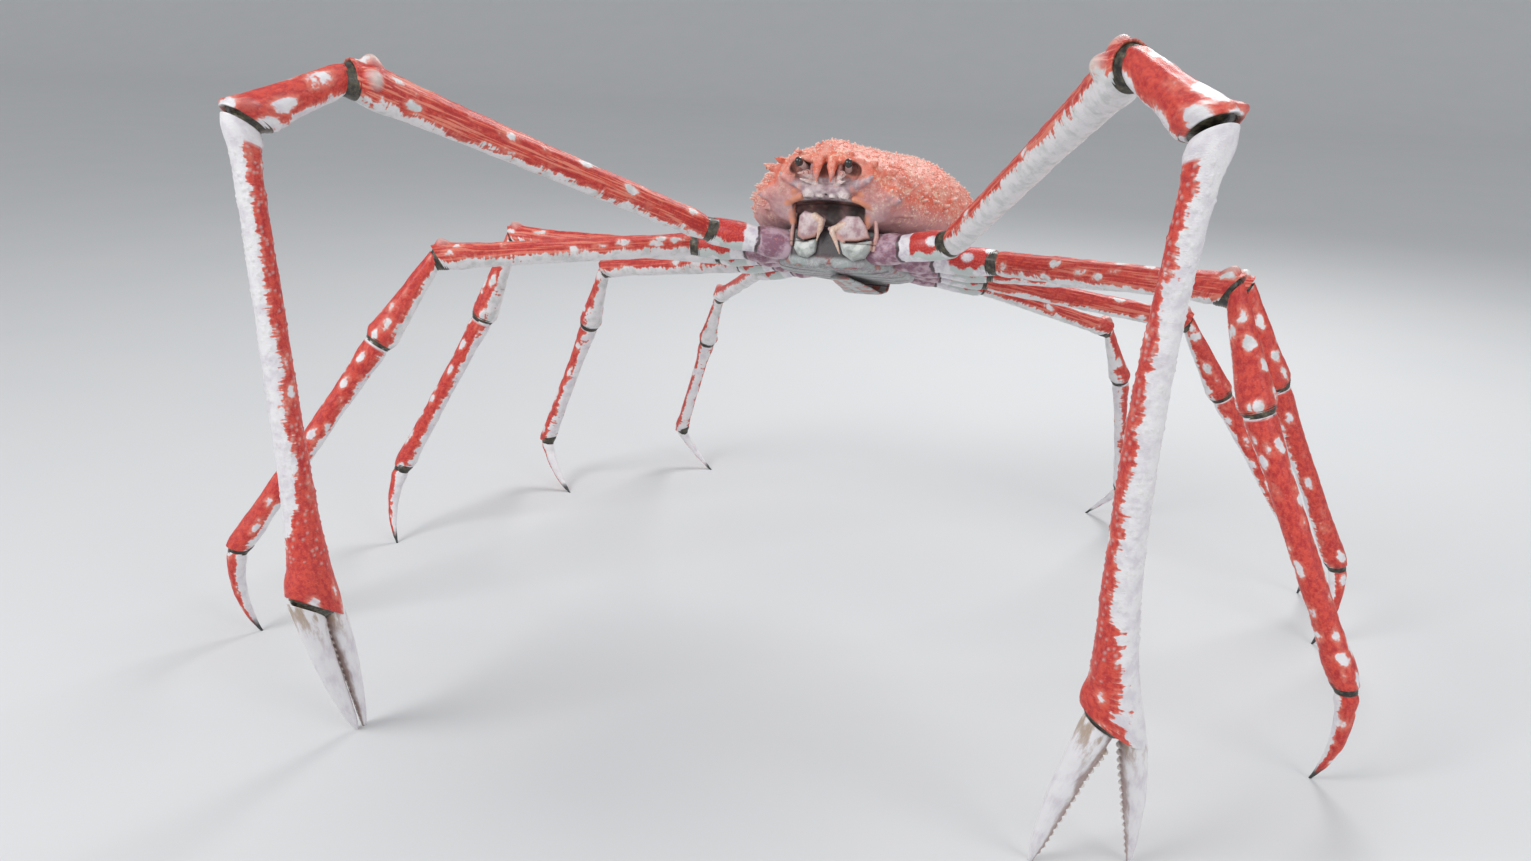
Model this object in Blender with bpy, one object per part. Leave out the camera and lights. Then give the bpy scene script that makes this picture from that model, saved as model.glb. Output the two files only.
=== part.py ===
"""Japanese spider crab, Macrocheira kaempferi, as a still life-size museum model.

Metres, +Z up. The crab faces -Y and its left side is +X. It stands on the tips of its claws and
legs on the floor, z = 0, and the origin is the centre of its outline seen from above.
Tables of sizes are in millimetres and degrees.
"""

import math
import random

import bmesh
import bpy
import numpy as np
from mathutils import Matrix, Vector

MM = 0.001
GAP = 0.3

# Where the body is carried: its centre above the floor, and how far its nose and left side lift
BODY_CENTRE = (0.0, 0.0, 531.0)
BODY_PITCH = 18.0
BODY_ROLL = 1.0

# Carapace: length without the rostral horns, greatest half width, height of the dome's top
# and of the flat underside where it meets the sternum, all from the body's centre
CARAPACE_FRONT = 161.0
CARAPACE_REAR = -165.0
CARAPACE_UNDERSIDE = -50.0
# place along the body, half width, level of the widest line, top, underside, underside's half width
CARAPACE_ROWS = (
    (-165, 46, 4, 20, -22, 0.80),
    (-160, 80, 2, 32, -36, 0.80),
    (-146, 110, 0, 43, -48, 0.80),
    (-115, 135, -1, 55, -50, 0.82),
    (-70, 148, -2, 66, -50, 0.84),
    (-20, 144, -3, 69.5, -50, 0.84),
    (25, 128, -5, 66, -50, 0.83),
    (65, 109, -7, 57, -50, 0.84),
    (100, 86, -3, 51.5, -50, 0.86),
    (130, 72, 1, 42, -46, 0.88),
    (146, 60, 4, 38, -28, 0.90),
    (155, 51, 6, 34, -16, 0.90),
    (161, 45, 8, 30, -8, 0.90),
)
# Raised regions of the carapace: side, forward, radius, height; the grooves have a negative height
CARAPACE_REGIONS = (
    (0, 88, 44, 4),
    (0, -42, 40, 6),
    (74, -40, 48, 8.5),
    (-74, -40, 48, 8.5),
    (62, 62, 26, 2),
    (-62, 62, 26, 2),
    (0, 24, 26, -6),
    (44, 8, 26, -5),
    (-44, 8, 26, -5),
)

# Sternum: half outline from the front to the rear, with one flat side for each limb
STERNUM_CORNERS = ((44, 112), (72, 76), (84, 32), (86, -13), (76, -57), (54, -96))
STERNUM_LEVELS = ((-50.3, 1.0), (-90.0, 1.0), (-96.0, 0.93), (-98.0, 0.75))
COXA_LEVEL = -72.0

# Mouth: the notch under the front of the carapace that the outer mouthparts close
MOUTH_HALF_WIDTH = 47.0
MOUTH_TOP = -23.0
MOUTH_BACK = 112.0
# The face slopes back below the eyes: forward and up places of the wedge cut away under it
CHIN_CUT = ((149, 4), (117, -40), (117, -75), (230, -75), (230, 4))
CHIN_HALF_WIDTH = 90.0
# Hollow between the eyes under the front edge: half width, forward place, lowest and highest level
FACE_HOLLOW = (43.0, 147.0, -6.0, 22.0)

# Limbs, counted from the claws: ischium-merus joint from the body's centre (side, forward, up)
JOINT_PLACES = {
    1: (152, 121, -63),
    2: (196, 50, -72),
    3: (180, -9, -75),
    4: (168, -57, -80),
    5: (158, -112, -82),
}
# Lengths of merus, carpus and dactylus; the propodus is as long as it takes to reach the floor
LENGTHS = {
    1: (472, 118, 181),
    2: (330, 126, 122),
    3: (305, 127, 114),
    4: (273, 114, 100),
    5: (229, 97, 88),
}
# Thickness of each pair against the first walking leg
THICKNESS = {1: 1.0, 2: 1.0, 3: 0.93, 4: 0.85, 5: 0.72}
# Azimuth, forward of straight out to the side, and elevation of merus, carpus, propodus, dactylus
POSE = {
    ("right", 1): ((57, 68, 153, -85), (23, -18, -84, -72)),
    ("left", 1): ((62, 54, -117, -107), (27, -21, -86, -75)),
    ("right", 2): ((37, 45, 42, -113), (-1, -53, -53, -82)),
    ("left", 2): ((37, 5, 16, -140), (5, -72, -65, -81)),
    ("right", 3): ((6, 21, 17, 99), (1, -68, -60, -72)),
    ("left", 3): ((-1, -4, -20, 169), (1, -67, -64, -84)),
    ("right", 4): ((-19, -34, -16, 150), (-9, -62, -64, -48)),
    ("left", 4): ((-17, -14, -10, -74), (-10, -60, -57, -64)),
    ("right", 5): ((-53, -42, -39, 175), (-21, -63, -63, -48)),
    ("left", 5): ((-41, -60, -77, -144), (-19, -60, -68, -45)),
}

# Profiles: share of the length, half width across the limb, half height from back to belly
BASE_ROWS = ((0, 19, 18), (0.22, 20, 19), (0.42, 16.5, 16), (0.55, 17.5, 17), (0.85, 18, 17.5), (1, 16, 16))
MERUS_ROWS = (
    (0, 13.5, 13.5), (0.03, 14.5, 15), (0.1, 14, 15), (0.3, 14, 15), (0.6, 14, 15), (0.85, 14.5, 15.5),
    (0.95, 16.5, 17), (1, 15, 15.5),
)
CARPUS_ROWS = (
    (0, 10, 10), (0.1, 10.5, 11), (0.3, 12, 13), (0.6, 15, 16), (0.85, 20, 19), (0.95, 21, 20), (1, 18.5, 17.5),
)
PROPODUS_ROWS = (
    (0, 16, 15), (0.04, 17, 16), (0.14, 14.5, 14.5), (0.5, 13, 13.5), (0.85, 14.5, 14.5), (0.95, 16, 15.5),
    (1, 14, 13.5),
)
DACTYLUS_ROWS = (
    (0, 10, 10), (0.06, 11, 12), (0.2, 9.5, 10.5), (0.45, 7.5, 8.5), (0.7, 5, 6), (0.88, 3, 3.5), (1, 1.4, 1.4),
)
ARM_ROWS = (
    (0, 14, 14), (0.03, 15.5, 16), (0.12, 15, 16.5), (0.4, 15.5, 17), (0.7, 16.5, 18), (0.88, 18.5, 20),
    (0.96, 21, 21), (1, 18, 18),
)
WRIST_ROWS = (
    (0, 13, 13), (0.08, 15, 15.5), (0.25, 16, 16.5), (0.55, 18, 18), (0.85, 21.5, 21), (0.94, 22, 21.5),
    (1, 19, 19),
)
PALM_ROWS = (
    (0, 16, 15.5), (0.02, 17, 16), (0.06, 14, 14.5), (0.17, 12.7, 13.5), (0.35, 13.5, 14), (0.55, 14.6, 15),
    (0.72, 16, 16.5), (0.84, 18.5, 18.5), (0.91, 22, 20.5), (0.97, 28, 22), (1, 28.5, 22),
)
FINGER_ROWS = (
    (0, 16, 15), (0.12, 15, 15), (0.3, 13, 12.5), (0.5, 11.5, 11), (0.7, 9, 9), (0.88, 6, 6.5), (1, 2.2, 2.4),
)
THUMB_ROWS = (
    (0, 10.5, 14), (0.18, 11.5, 13.5), (0.38, 11, 11.5), (0.58, 9.3, 9.5), (0.78, 6.3, 7.5), (0.92, 4, 5),
    (1, 2.2, 2.4),
)
# Claws: direction from the fixed finger to the moving one, distance between the tips, teeth
CLAW_SPREAD = {"right": (-0.25, -0.97, 0.0), "left": (-0.947, -0.322, 0.0)}
CLAW_OPENING = {"right": 10.0, "left": 94.0}
PALM_BOW = {"right": 0.0, "left": 15.0}
FINGER_BOW = 3.0
HINGE_OFFSET = 11.0
THUMB_OFFSET = 17.5
THUMB_ROOT = 16.0
HINGE_SLANT = 34.0
DACTYLUS_BOW = -0.09

# Carapace spines: bands along the body, spacing along a band, height and root radius of a middling one
SPINE_BANDS = (-148, -126, -104, -82, -60, -38, -16, 6, 28, 50, 72, 94, 116, 136)
SPINE_SPACING = 25.0
SPINE_HEIGHT = 5.5
SPINE_RADIUS = 3.6
EDGE_SPINE_HEIGHT = 9.0
SPINE_SIDES = 5
SPINE_SINK = 3.0
SPINE_SEED = 7
# Share by which spines differ in size and place, and the distance they stray forward or back
SPINE_STRAY = 0.3
SPINE_DRIFT = 7.0
# How far the spines lean forward, how blunt they are, and how high the edge row sits
SPINE_LEAN = 0.25
SPINE_TIP_SHARE = 0.15
EDGE_ANGLE = math.radians(4)
# Front spines of each side: root and tip from the body's centre, root radius
FRONT_SPINES = (
    ((30, 148, 27), (39, 176, 30), 4.5),
    ((50, 138, 18), (64, 162, 21), 6.0),
    ((20, 142, -8), (57, 152, 5), 7.5),
    ((64, 118, 13), (86, 136, 19), 6.0),
    ((68, 112, -16), (90, 135, -19), 6.0),
    ((14, 146, -4), (30, 164, -4), 3.5),
    ((21, 136, -10), (21, 141, -25), 6.5),
)
FRONT_SPINE_WAIST = 0.6
FRONT_SPINE_TIP = 0.7
FRONT_SPINE_SIDES = 6
# Rostral horn: its path from the root to the tip, and its radii
HORN_PATH = ((8, 138, 25), (9, 157, 21), (9.5, 163, 13), (9.3, 163, 5), (8.8, 161, -4))
HORN_RADII = (9.0, 7.4, 5.6, 4.0, 1.2)
HORN_SIDES = 7

# Blunt bumps along the arms: root radius, height, number along a row
BUMP_RADIUS = 3.4
BUMP_HEIGHT = 3.0
BUMPS_IN_ROW = {"merus": 7, "carpus": 3}
BUMP_ANGLES = (60, 120)
# Lobes at the far end of a merus: place, angle round the limb, height, root radius
MERUS_LOBES = ((0.955, 90, 9, 8.5), (0.965, 15, 8, 7.5), (0.965, 165, 8, 7.5))
LEG_MERUS_LOBES = ((0.96, 90, 7, 6.5),)
WRIST_LOBES = ((0.93, 40, 6, 7.0), (0.93, 140, 6, 7.0))
# Width of their tips as shares of their roots
BUMP_TIP_SHARE = 0.45
LOBE_TIP_SHARE = 0.35
TOOTH_TIP_SHARE = 0.4
# Shares of a limb where the bumps begin, and over which they are spread
BUMPS_FROM = 0.1
BUMPS_OVER = 0.78
# The same for the teeth, and how fast they shrink towards the tip
TEETH_FROM = 0.14
TEETH_OVER = 0.76
LARGE_TEETH_TO = 0.4
TOOTH_SHRINK = 0.8
# Teeth of the fingers: number, height in the closed and in the open claw, root radius
FINGER_TEETH = 9
TOOTH_HEIGHT = {"right": 1.2, "left": 4.0}
TOOTH_RADIUS = 4.0

LEG_SIDES = 10
CLAW_SIDES = 12
FACE_SIDES = 8
CARAPACE_RINGS = 21
# How far the rings are drawn together towards the carapace's two ends
CROWDED_SHARE = 0.65

# Eyes, antennae and outer mouthparts, from the body's centre
EYE_PLACE = (26, 149, 13)
EYE_DIRECTION = (0.22, 0.95, 0.15)
EYE_ROWS = ((0, 3.8, 3.8), (0.45, 3.8, 3.8), (0.56, 4.8, 4.8), (0.72, 5.5, 5.5), (0.88, 4.6, 4.6), (1, 2.1, 2.1))
EYE_LENGTH = 27.0
ANTENNA_PLACE = (19, 149, 7)
ANTENNA_DIRECTION = (0.25, 0.93, -0.2)
ANTENNA_ROWS = ((0, 4, 4), (0.3, 3.8, 3.8), (0.36, 2.6, 2.6), (0.6, 2.2, 2.2), (1, 1, 1))
ANTENNA_LENGTH = 30.0
MAXILLIPED_ROOT = (22, 117, -92)
MAXILLIPED_TOP = (26, 125, -36)
MAXILLIPED_ROWS = ((0, 13, 5), (0.15, 17, 6.5), (0.5, 19.5, 7.5), (0.8, 20.5, 7), (1, 13, 4.5))
ABDOMEN_PATH = ((44, -101.8), (0, -102.2), (-50, -102.6), (-96, -102.4), (-114, -96), (-121, -78), (-122, -62))
ABDOMEN_HALF_WIDTHS = (11, 17, 22, 27, 30, 30, 28)
ABDOMEN_HALF_HEIGHT = 3.5
# Section of the plate: shares of the half width and of the half height
ABDOMEN_SECTION = (
    (-1, 0.9),
    (-0.8, 1),
    (0, 1),
    (0.8, 1),
    (1, 0.9),
    (0.92, -0.5),
    (0.45, -1),
    (-0.45, -1),
    (-0.92, -0.5),
)

COLOURS = {
    "carapace": (0.74, 0.22, 0.15),
    "sternum": (0.62, 0.55, 0.55),
    "limb": (0.70, 0.07, 0.05),
    "claw": (0.80, 0.76, 0.74),
    "eye": (0.01, 0.01, 0.01),
    "mouthpart": (0.66, 0.56, 0.54),
}
ROUGHNESS = {"carapace": 0.6, "sternum": 0.5, "limb": 0.45, "claw": 0.4, "eye": 0.1, "mouthpart": 0.5}


def clear_scene():
    for obj in list(bpy.data.objects):
        bpy.data.objects.remove(obj, do_unlink=True)


def new_collection(name, hidden=False):
    collection = bpy.data.collections.new(name)
    collection.hide_render = hidden
    bpy.context.scene.collection.children.link(collection)
    return collection


def new_material(name, kind):
    """A material of the node's own, with the colour and roughness of its kind of shell."""
    material = bpy.data.materials.new(name)
    material.use_nodes = True
    shader = material.node_tree.nodes["Principled BSDF"]
    shader.inputs["Base Color"].default_value = (*COLOURS[kind], 1.0)
    shader.inputs["Roughness"].default_value = ROUGHNESS[kind]
    shader.inputs["Metallic"].default_value = 0.0
    return material


def body_matrix():
    """From the body's own side, forward and up, in millimetres, to the crab's place, in metres."""
    forward = Vector((0, -1, 0))
    left = Vector((1, 0, 0))
    up = Vector((0, 0, 1))
    pitch = math.radians(BODY_PITCH)
    roll = math.radians(BODY_ROLL)
    lifted = forward * math.cos(pitch) + up * math.sin(pitch)
    tilted = up * math.cos(pitch) - forward * math.sin(pitch)
    side = left * math.cos(roll) + tilted * math.sin(roll)
    top = tilted * math.cos(roll) - left * math.sin(roll)
    turn = Matrix((side, lifted, top)).transposed().to_4x4()
    return Matrix.Scale(MM, 4) @ Matrix.Translation(BODY_CENTRE) @ turn


BODY = body_matrix()


def body_point(side, forward, up):
    return BODY @ Vector((side, forward, up)) / MM


def body_direction(side, forward, up):
    return (BODY.to_3x3() @ Vector((side, forward, up))).normalized()


def read_rows(rows, places):
    """The rows' values at these places, on a smooth curve through the rows."""
    rows = np.array(rows, float)
    along = rows[:, 0]
    slopes = np.gradient(rows[:, 1:], along, axis=0)
    found = []
    for place in places:
        k = int(np.clip(np.searchsorted(along, place, "right") - 1, 0, len(along) - 2))
        step = along[k + 1] - along[k]
        x = (place - along[k]) / step
        found.append(
            rows[k, 1:] * (2 * x**3 - 3 * x**2 + 1)
            + rows[k + 1, 1:] * (3 * x**2 - 2 * x**3)
            + slopes[k] * step * (x**3 - 2 * x**2 + x)
            + slopes[k + 1] * step * (x**3 - x**2)
        )
    return np.array(found)


def new_object(name, bm, collection):
    mesh = bpy.data.meshes.new(name)
    bm.to_mesh(mesh)
    bm.free()
    obj = bpy.data.objects.new(name, mesh)
    collection.objects.link(obj)
    return obj


def loft(name, rings, collection):
    """A closed skin over rings of points in millimetres, with flat ends."""
    bm = bmesh.new()
    loops = [[bm.verts.new(Vector(point) * MM) for point in ring] for ring in rings]
    for first, second in zip(loops, loops[1:]):
        for i in range(len(first)):
            j = (i + 1) % len(first)
            bm.faces.new((first[i], first[j], second[j], second[i]))
    bm.faces.new(loops[0][::-1])
    bm.faces.new(loops[-1])
    bm.normal_update()
    bmesh.ops.recalc_face_normals(bm, faces=bm.faces)
    return new_object(name, bm, collection)


class Tube:
    """An oval tube from start to end, with its profile rows and a bow to one side."""

    def __init__(self, start, end, across, rows, bow=None, scale=1.0):
        self.start = start
        self.span = end - start
        self.across = across
        self.rows = rows
        self.bow = bow if bow is not None else Vector((0, 0, 0))
        self.scale = scale

    def frame(self, place):
        """The middle at this share of the length, and the directions along, across and to the back."""
        centre = self.start + self.span * place + self.bow * (4 * place * (1 - place))
        axis = (self.span + self.bow * (4 - 8 * place)).normalized()
        side = (self.across - axis * self.across.dot(axis)).normalized()
        return centre, axis, side, axis.cross(side)

    def point(self, place, angle):
        half_across, half_back = read_rows(self.rows, [place])[0] * self.scale
        centre, _, side, back = self.frame(place)
        return centre + side * (half_across * math.cos(angle)) + back * (half_back * math.sin(angle))

    def outward(self, place, angle):
        _, _, side, back = self.frame(place)
        return side * math.cos(angle) + back * math.sin(angle)

    def rings(self, sides, start_plane=None, end_plane=None):
        """Rings of points. The planes are the flat faces at its ends, as (point, normal)."""
        rings = []
        for place, _, half_back in self.rows:
            _, axis, _, _ = self.frame(place)
            ring = []
            for i in range(sides):
                point = self.point(place, 2 * math.pi * (i + 0.5) / sides)
                for plane, share, sign in ((start_plane, place, 1), (end_plane, 1 - place, -1)):
                    if plane is None:
                        continue
                    distance = share * self.span.length
                    pull = max(0.0, 1 - distance / (3.0 * half_back * self.scale))
                    origin, normal = plane
                    level = sign * distance * axis.dot(normal)
                    point += axis * ((level - (point - origin).dot(normal)) / axis.dot(normal) * pull)
                ring.append(point)
            rings.append(ring)
        return rings


def joint_plane(point, before, after, gap_side):
    """The flat face of a joint, half way between the two directions, and half the gap from it."""
    normal = (before.normalized() + after.normalized()).normalized()
    return point + normal * (GAP / 2 * gap_side), normal


def cone(root, way, height, radius, tip_share, collection):
    """A pointed or blunt cone that stands on a surface, with its root sunk into it."""
    bm = bmesh.new()
    bmesh.ops.create_cone(
        bm,
        cap_ends=True,
        segments=SPINE_SIDES,
        radius1=radius * MM,
        radius2=radius * tip_share * MM,
        depth=(height + SPINE_SINK) * MM,
    )
    middle = root + way * ((height - SPINE_SINK) / 2)
    turn = way.to_track_quat("Z", "Y").to_matrix().to_4x4()
    bm.transform(Matrix.Translation(middle * MM) @ turn)
    return new_object("cone", bm, collection)


def horn(path, radii, sides, collection):
    """A curved tapering horn through the points of its path."""
    rings = []
    side = (path[1] - path[0]).orthogonal()
    for i, (point, radius) in enumerate(zip(path, radii)):
        ahead = (path[min(i + 1, len(path) - 1)] - path[max(i - 1, 0)]).normalized()
        side = (side - ahead * side.dot(ahead)).normalized()
        back = ahead.cross(side)
        ring = []
        for k in range(sides):
            angle = 2 * math.pi * k / sides
            ring.append(point + (side * math.cos(angle) + back * math.sin(angle)) * radius)
        rings.append(ring)
    return loft("horn", rings, collection)


def shells(bm):
    """The groups of faces that hang together."""
    left = set(bm.faces)
    while left:
        group = {left.pop()}
        edge = list(group)
        while edge:
            face = edge.pop()
            for link in face.edges:
                for other in link.link_faces:
                    if other in left:
                        left.remove(other)
                        group.add(other)
                        edge.append(other)
        yield group


def volume(faces):
    total = 0.0
    for face in faces:
        corners = [v.co for v in face.verts]
        for a, b in zip(corners[1:], corners[2:]):
            total += corners[0].dot(a.cross(b)) / 6
    return total


def keep_largest(obj):
    """Leaves the largest closed surface of the mesh, which also fills a sealed hollow."""
    bm = bmesh.new()
    bm.from_mesh(obj.data)
    groups = sorted(shells(bm), key=volume)
    for group in groups[:-1]:
        bmesh.ops.delete(bm, geom=list(group), context="FACES")
    bm.to_mesh(obj.data)
    bm.free()


def boolean(obj, others, operation, solver="EXACT"):
    """Joins the others to the object, or cuts them from it, and removes them."""
    tools = bpy.data.collections.new("tools")
    bpy.context.scene.collection.children.link(tools)
    for other in others:
        for home in list(other.users_collection):
            home.objects.unlink(other)
        tools.objects.link(other)
    modifier = obj.modifiers.new(operation.lower(), "BOOLEAN")
    modifier.operation = operation
    modifier.solver = solver
    modifier.operand_type = "COLLECTION"
    modifier.collection = tools
    graph = bpy.context.evaluated_depsgraph_get()
    result = bpy.data.meshes.new_from_object(obj.evaluated_get(graph))
    obj.modifiers.clear()
    obj.data = result
    for other in others:
        bpy.data.objects.remove(other, do_unlink=True)
    bpy.data.collections.remove(tools)
    keep_largest(obj)
    return obj


def finish(obj, kind):
    obj.data.materials.clear()
    obj.data.materials.append(new_material(obj.name, kind))
    obj.data.shade_smooth()
    obj.data.set_sharp_from_angle(angle=math.radians(40))
    return obj


def region_height(side, forward):
    """How far the carapace's regions lift its surface there."""
    total = 0.0
    for x, y, radius, height in CARAPACE_REGIONS:
        total += height * math.exp(-((side - x) ** 2 + (forward - y) ** 2) / radius**2)
    return total


def carapace_point(forward, turn, grow=0.0):
    """A point of the shell: turn is 0 at its left edge, 90 degrees on top and 180 at its right edge."""
    half, middle, top, _, _ = read_rows(CARAPACE_ROWS, [forward])[0]
    x = half * math.cos(turn)
    rise = max(0.0, math.sin(turn)) ** 0.9
    z = middle + (top - middle) * rise + region_height(x, forward) * rise
    return Vector((x + grow * math.cos(turn), forward, z + grow * math.sin(turn)))


def carapace_ring(row, grow):
    forward, half, middle, _, underside, narrow = row
    underside = max(underside, CARAPACE_UNDERSIDE)
    arc = [carapace_point(forward, math.pi * i / 20, grow) for i in range(21)]
    wall = []
    for share in (0.3, 0.62, 0.86):
        turn = share * math.pi / 2
        x = half * (narrow + (1 - narrow) * math.cos(turn)) + grow
        wall.append((x, middle + (underside - middle) * math.sin(turn) ** 1.2))
    corner = (half * narrow + grow, underside - grow)
    points = [Vector((-x, forward, z)) for x, z in wall] + [Vector((-corner[0], forward, corner[1]))]
    points += [Vector((corner[0] * share, forward, corner[1])) for share in (-0.5, 0, 0.5, 1)]
    points += [Vector((x, forward, z)) for x, z in wall[::-1]]
    return arc + points


def carapace_body(name, collection, grow=0.0):
    shares = [0.5 - 0.5 * math.cos(math.pi * i / CARAPACE_RINGS) for i in range(CARAPACE_RINGS + 1)]
    length = CARAPACE_FRONT - CARAPACE_REAR
    rows = []
    for i, share in enumerate(shares):
        even = i / CARAPACE_RINGS
        place = CARAPACE_REAR + length * (even + CROWDED_SHARE * (share - even))
        rows.append([place, *read_rows(CARAPACE_ROWS, [place])[0]])
    rows[0][0] -= grow
    rows[-1][0] += grow
    rings = [[body_point(*point) for point in carapace_ring(row, grow)] for row in rows]
    return loft(name, rings[::-1], collection)


def box(name, low, high, collection):
    """A block in the body's own frame."""
    bm = bmesh.new()
    bmesh.ops.create_cube(bm, size=1.0)
    for vert in bm.verts:
        place = [low[i] + (high[i] - low[i]) * (vert.co[i] + 0.5) for i in range(3)]
        vert.co = body_point(*place) * MM
    bm.normal_update()
    bmesh.ops.recalc_face_normals(bm, faces=bm.faces)
    return new_object(name, bm, collection)


def behind(name, forward, collection):
    """A block that fills the body behind a place, wider and taller than the face."""
    low = (-CHIN_HALF_WIDTH, CARAPACE_REAR, -CARAPACE_FRONT)
    return box(name, low, (CHIN_HALF_WIDTH, forward, CARAPACE_FRONT), collection)


def prism(name, outline, half_width, collection):
    """A block across the body whose side view is the outline of forward and up places."""
    rings = []
    for x in (-half_width, half_width):
        rings.append([body_point(x, forward, up) for forward, up in outline])
    return loft(name, rings, collection)


def carapace_outward(forward, turn):
    """The way the shell faces there, in the body's own frame."""
    step = 1.0
    here = carapace_point(forward, turn)
    along = carapace_point(forward + step, turn) - carapace_point(forward - step, turn)
    round_it = carapace_point(forward, turn + 0.02) - carapace_point(forward, turn - 0.02)
    way = along.cross(round_it).normalized()
    centre = Vector((0, forward * 0.8, 0))
    return way if way.dot(here - centre) > 0 else -way


def carapace_spines(tools):
    """Spines in bands over the shell, longest along its side edges."""
    draw = random.Random(SPINE_SEED)
    spines = []
    for forward in SPINE_BANDS:
        half, middle, top, _, _ = read_rows(CARAPACE_ROWS, [forward])[0]
        arc = math.pi * math.sqrt((half**2 + (top - middle) ** 2) / 2)
        count = max(4, round(arc / SPINE_SPACING))
        for i in range(count + 1):
            edge = i in (0, count)
            turn = EDGE_ANGLE + (math.pi - 2 * EDGE_ANGLE) * i / count
            place = forward
            if not edge:
                turn += draw.uniform(-SPINE_STRAY, SPINE_STRAY) * math.pi / count
                place += draw.uniform(-SPINE_DRIFT, SPINE_DRIFT)
            size = 1 + draw.uniform(-SPINE_STRAY, SPINE_STRAY)
            height = (EDGE_SPINE_HEIGHT if edge else SPINE_HEIGHT) * size
            way = carapace_outward(place, turn)
            way = (way + Vector((0, SPINE_LEAN, 0))).normalized()
            root = carapace_point(place, turn)
            spines.append(
                cone(
                    body_point(*root),
                    body_direction(*way),
                    height,
                    SPINE_RADIUS * size**0.5,
                    SPINE_TIP_SHARE,
                    tools,
                )
            )
    return spines


def front_spines(tools):
    """The rostral horns and the spines round the eyes and cheeks."""
    spines = []
    for sign in (1, -1):
        path = [body_point(sign * x, y, z) for x, y, z in HORN_PATH]
        spines.append(horn(path, HORN_RADII, HORN_SIDES, tools))
        for root, tip, radius in FRONT_SPINES:
            low = body_point(sign * root[0], root[1], root[2])
            high = body_point(sign * tip[0], tip[1], tip[2])
            middle = low + (high - low) * FRONT_SPINE_WAIST
            radii = (radius, radius * FRONT_SPINE_WAIST, FRONT_SPINE_TIP)
            spines.append(horn([low, middle, high], radii, FRONT_SPINE_SIDES, tools))
    return spines


def make_carapace(parts, cutters):
    shell = carapace_body("carapace", parts)
    beyond = 2 * CARAPACE_FRONT
    low = (-MOUTH_HALF_WIDTH, MOUTH_BACK, 2 * CARAPACE_UNDERSIDE)
    notch = box("mouth", low, (MOUTH_HALF_WIDTH, beyond, MOUTH_TOP), cutters)
    chin = prism("chin", CHIN_CUT, CHIN_HALF_WIDTH, cutters)
    half, back, low, high = FACE_HOLLOW
    hollow = box("hollow", (-half, back, low), (half, beyond, high), cutters)
    boolean(shell, [notch, chin, hollow], "DIFFERENCE")
    boolean(shell, carapace_spines(cutters) + front_spines(cutters), "UNION")
    return finish(shell, "carapace")


def make_sternum(parts):
    half = list(STERNUM_CORNERS)
    outline = half + [(0, -108)] + [(-x, y) for x, y in half[::-1]]
    rings = []
    for level, share in STERNUM_LEVELS:
        rings.append([body_point(x * share, y * share, level) for x, y in outline])
    return finish(loft("sternum", rings, parts), "sternum")


def make_abdomen(parts):
    """A flat plate folded under the body, following its path."""
    path = [Vector((0, y, z)) for y, z in ABDOMEN_PATH]
    rings = []
    for i, (point, half) in enumerate(zip(path, ABDOMEN_HALF_WIDTHS)):
        ahead = path[min(i + 1, len(path) - 1)] - path[max(i - 1, 0)]
        out = Vector((0, ahead.z, -ahead.y)).normalized()
        ring = []
        for x, z in ABDOMEN_SECTION:
            place = point + out * (z * ABDOMEN_HALF_HEIGHT)
            ring.append(body_point(x * half, place.y, place.z))
        rings.append(ring)
    return finish(loft("abdomen", rings, parts), "sternum")


def side_sign(side):
    return 1 if side == "left" else -1


def make_face_parts(side, parts, cutters):
    """The eye, the antenna and the outer mouthpart of one side."""
    sign = side_sign(side)
    made = []
    for name, place, direction, rows, length, kind in (
        ("eye_" + side, EYE_PLACE, EYE_DIRECTION, EYE_ROWS, EYE_LENGTH, "eye"),
        ("antenna_" + side, ANTENNA_PLACE, ANTENNA_DIRECTION, ANTENNA_ROWS, ANTENNA_LENGTH, "carapace"),
    ):
        start = body_point(sign * place[0], place[1], place[2])
        axis = body_direction(sign * direction[0], direction[1], direction[2])
        across = body_direction(1, 0, 0)
        tube = Tube(start, start + axis * length, across, rows)
        piece = loft(name, tube.rings(FACE_SIDES), parts)
        boolean(piece, [behind("socket", FACE_HOLLOW[1] + GAP, cutters)], "DIFFERENCE")
        made.append(finish(piece, kind))
    root = body_point(sign * MAXILLIPED_ROOT[0], MAXILLIPED_ROOT[1], MAXILLIPED_ROOT[2])
    top = body_point(sign * MAXILLIPED_TOP[0], MAXILLIPED_TOP[1], MAXILLIPED_TOP[2])
    tube = Tube(root, top, body_direction(1, 0, 0), MAXILLIPED_ROWS)
    plate = loft("maxilliped_" + side, tube.rings(LEG_SIDES), parts)
    boolean(plate, [behind("mouth_back", MOUTH_BACK + GAP, cutters)], "DIFFERENCE")
    made.append(finish(plate, "mouthpart"))
    return made


def direction(side, azimuth, elevation):
    turn = math.radians(azimuth)
    lift = math.radians(elevation)
    flat = math.cos(lift)
    return Vector((side_sign(side) * flat * math.cos(turn), -flat * math.sin(turn), math.sin(lift)))


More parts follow.
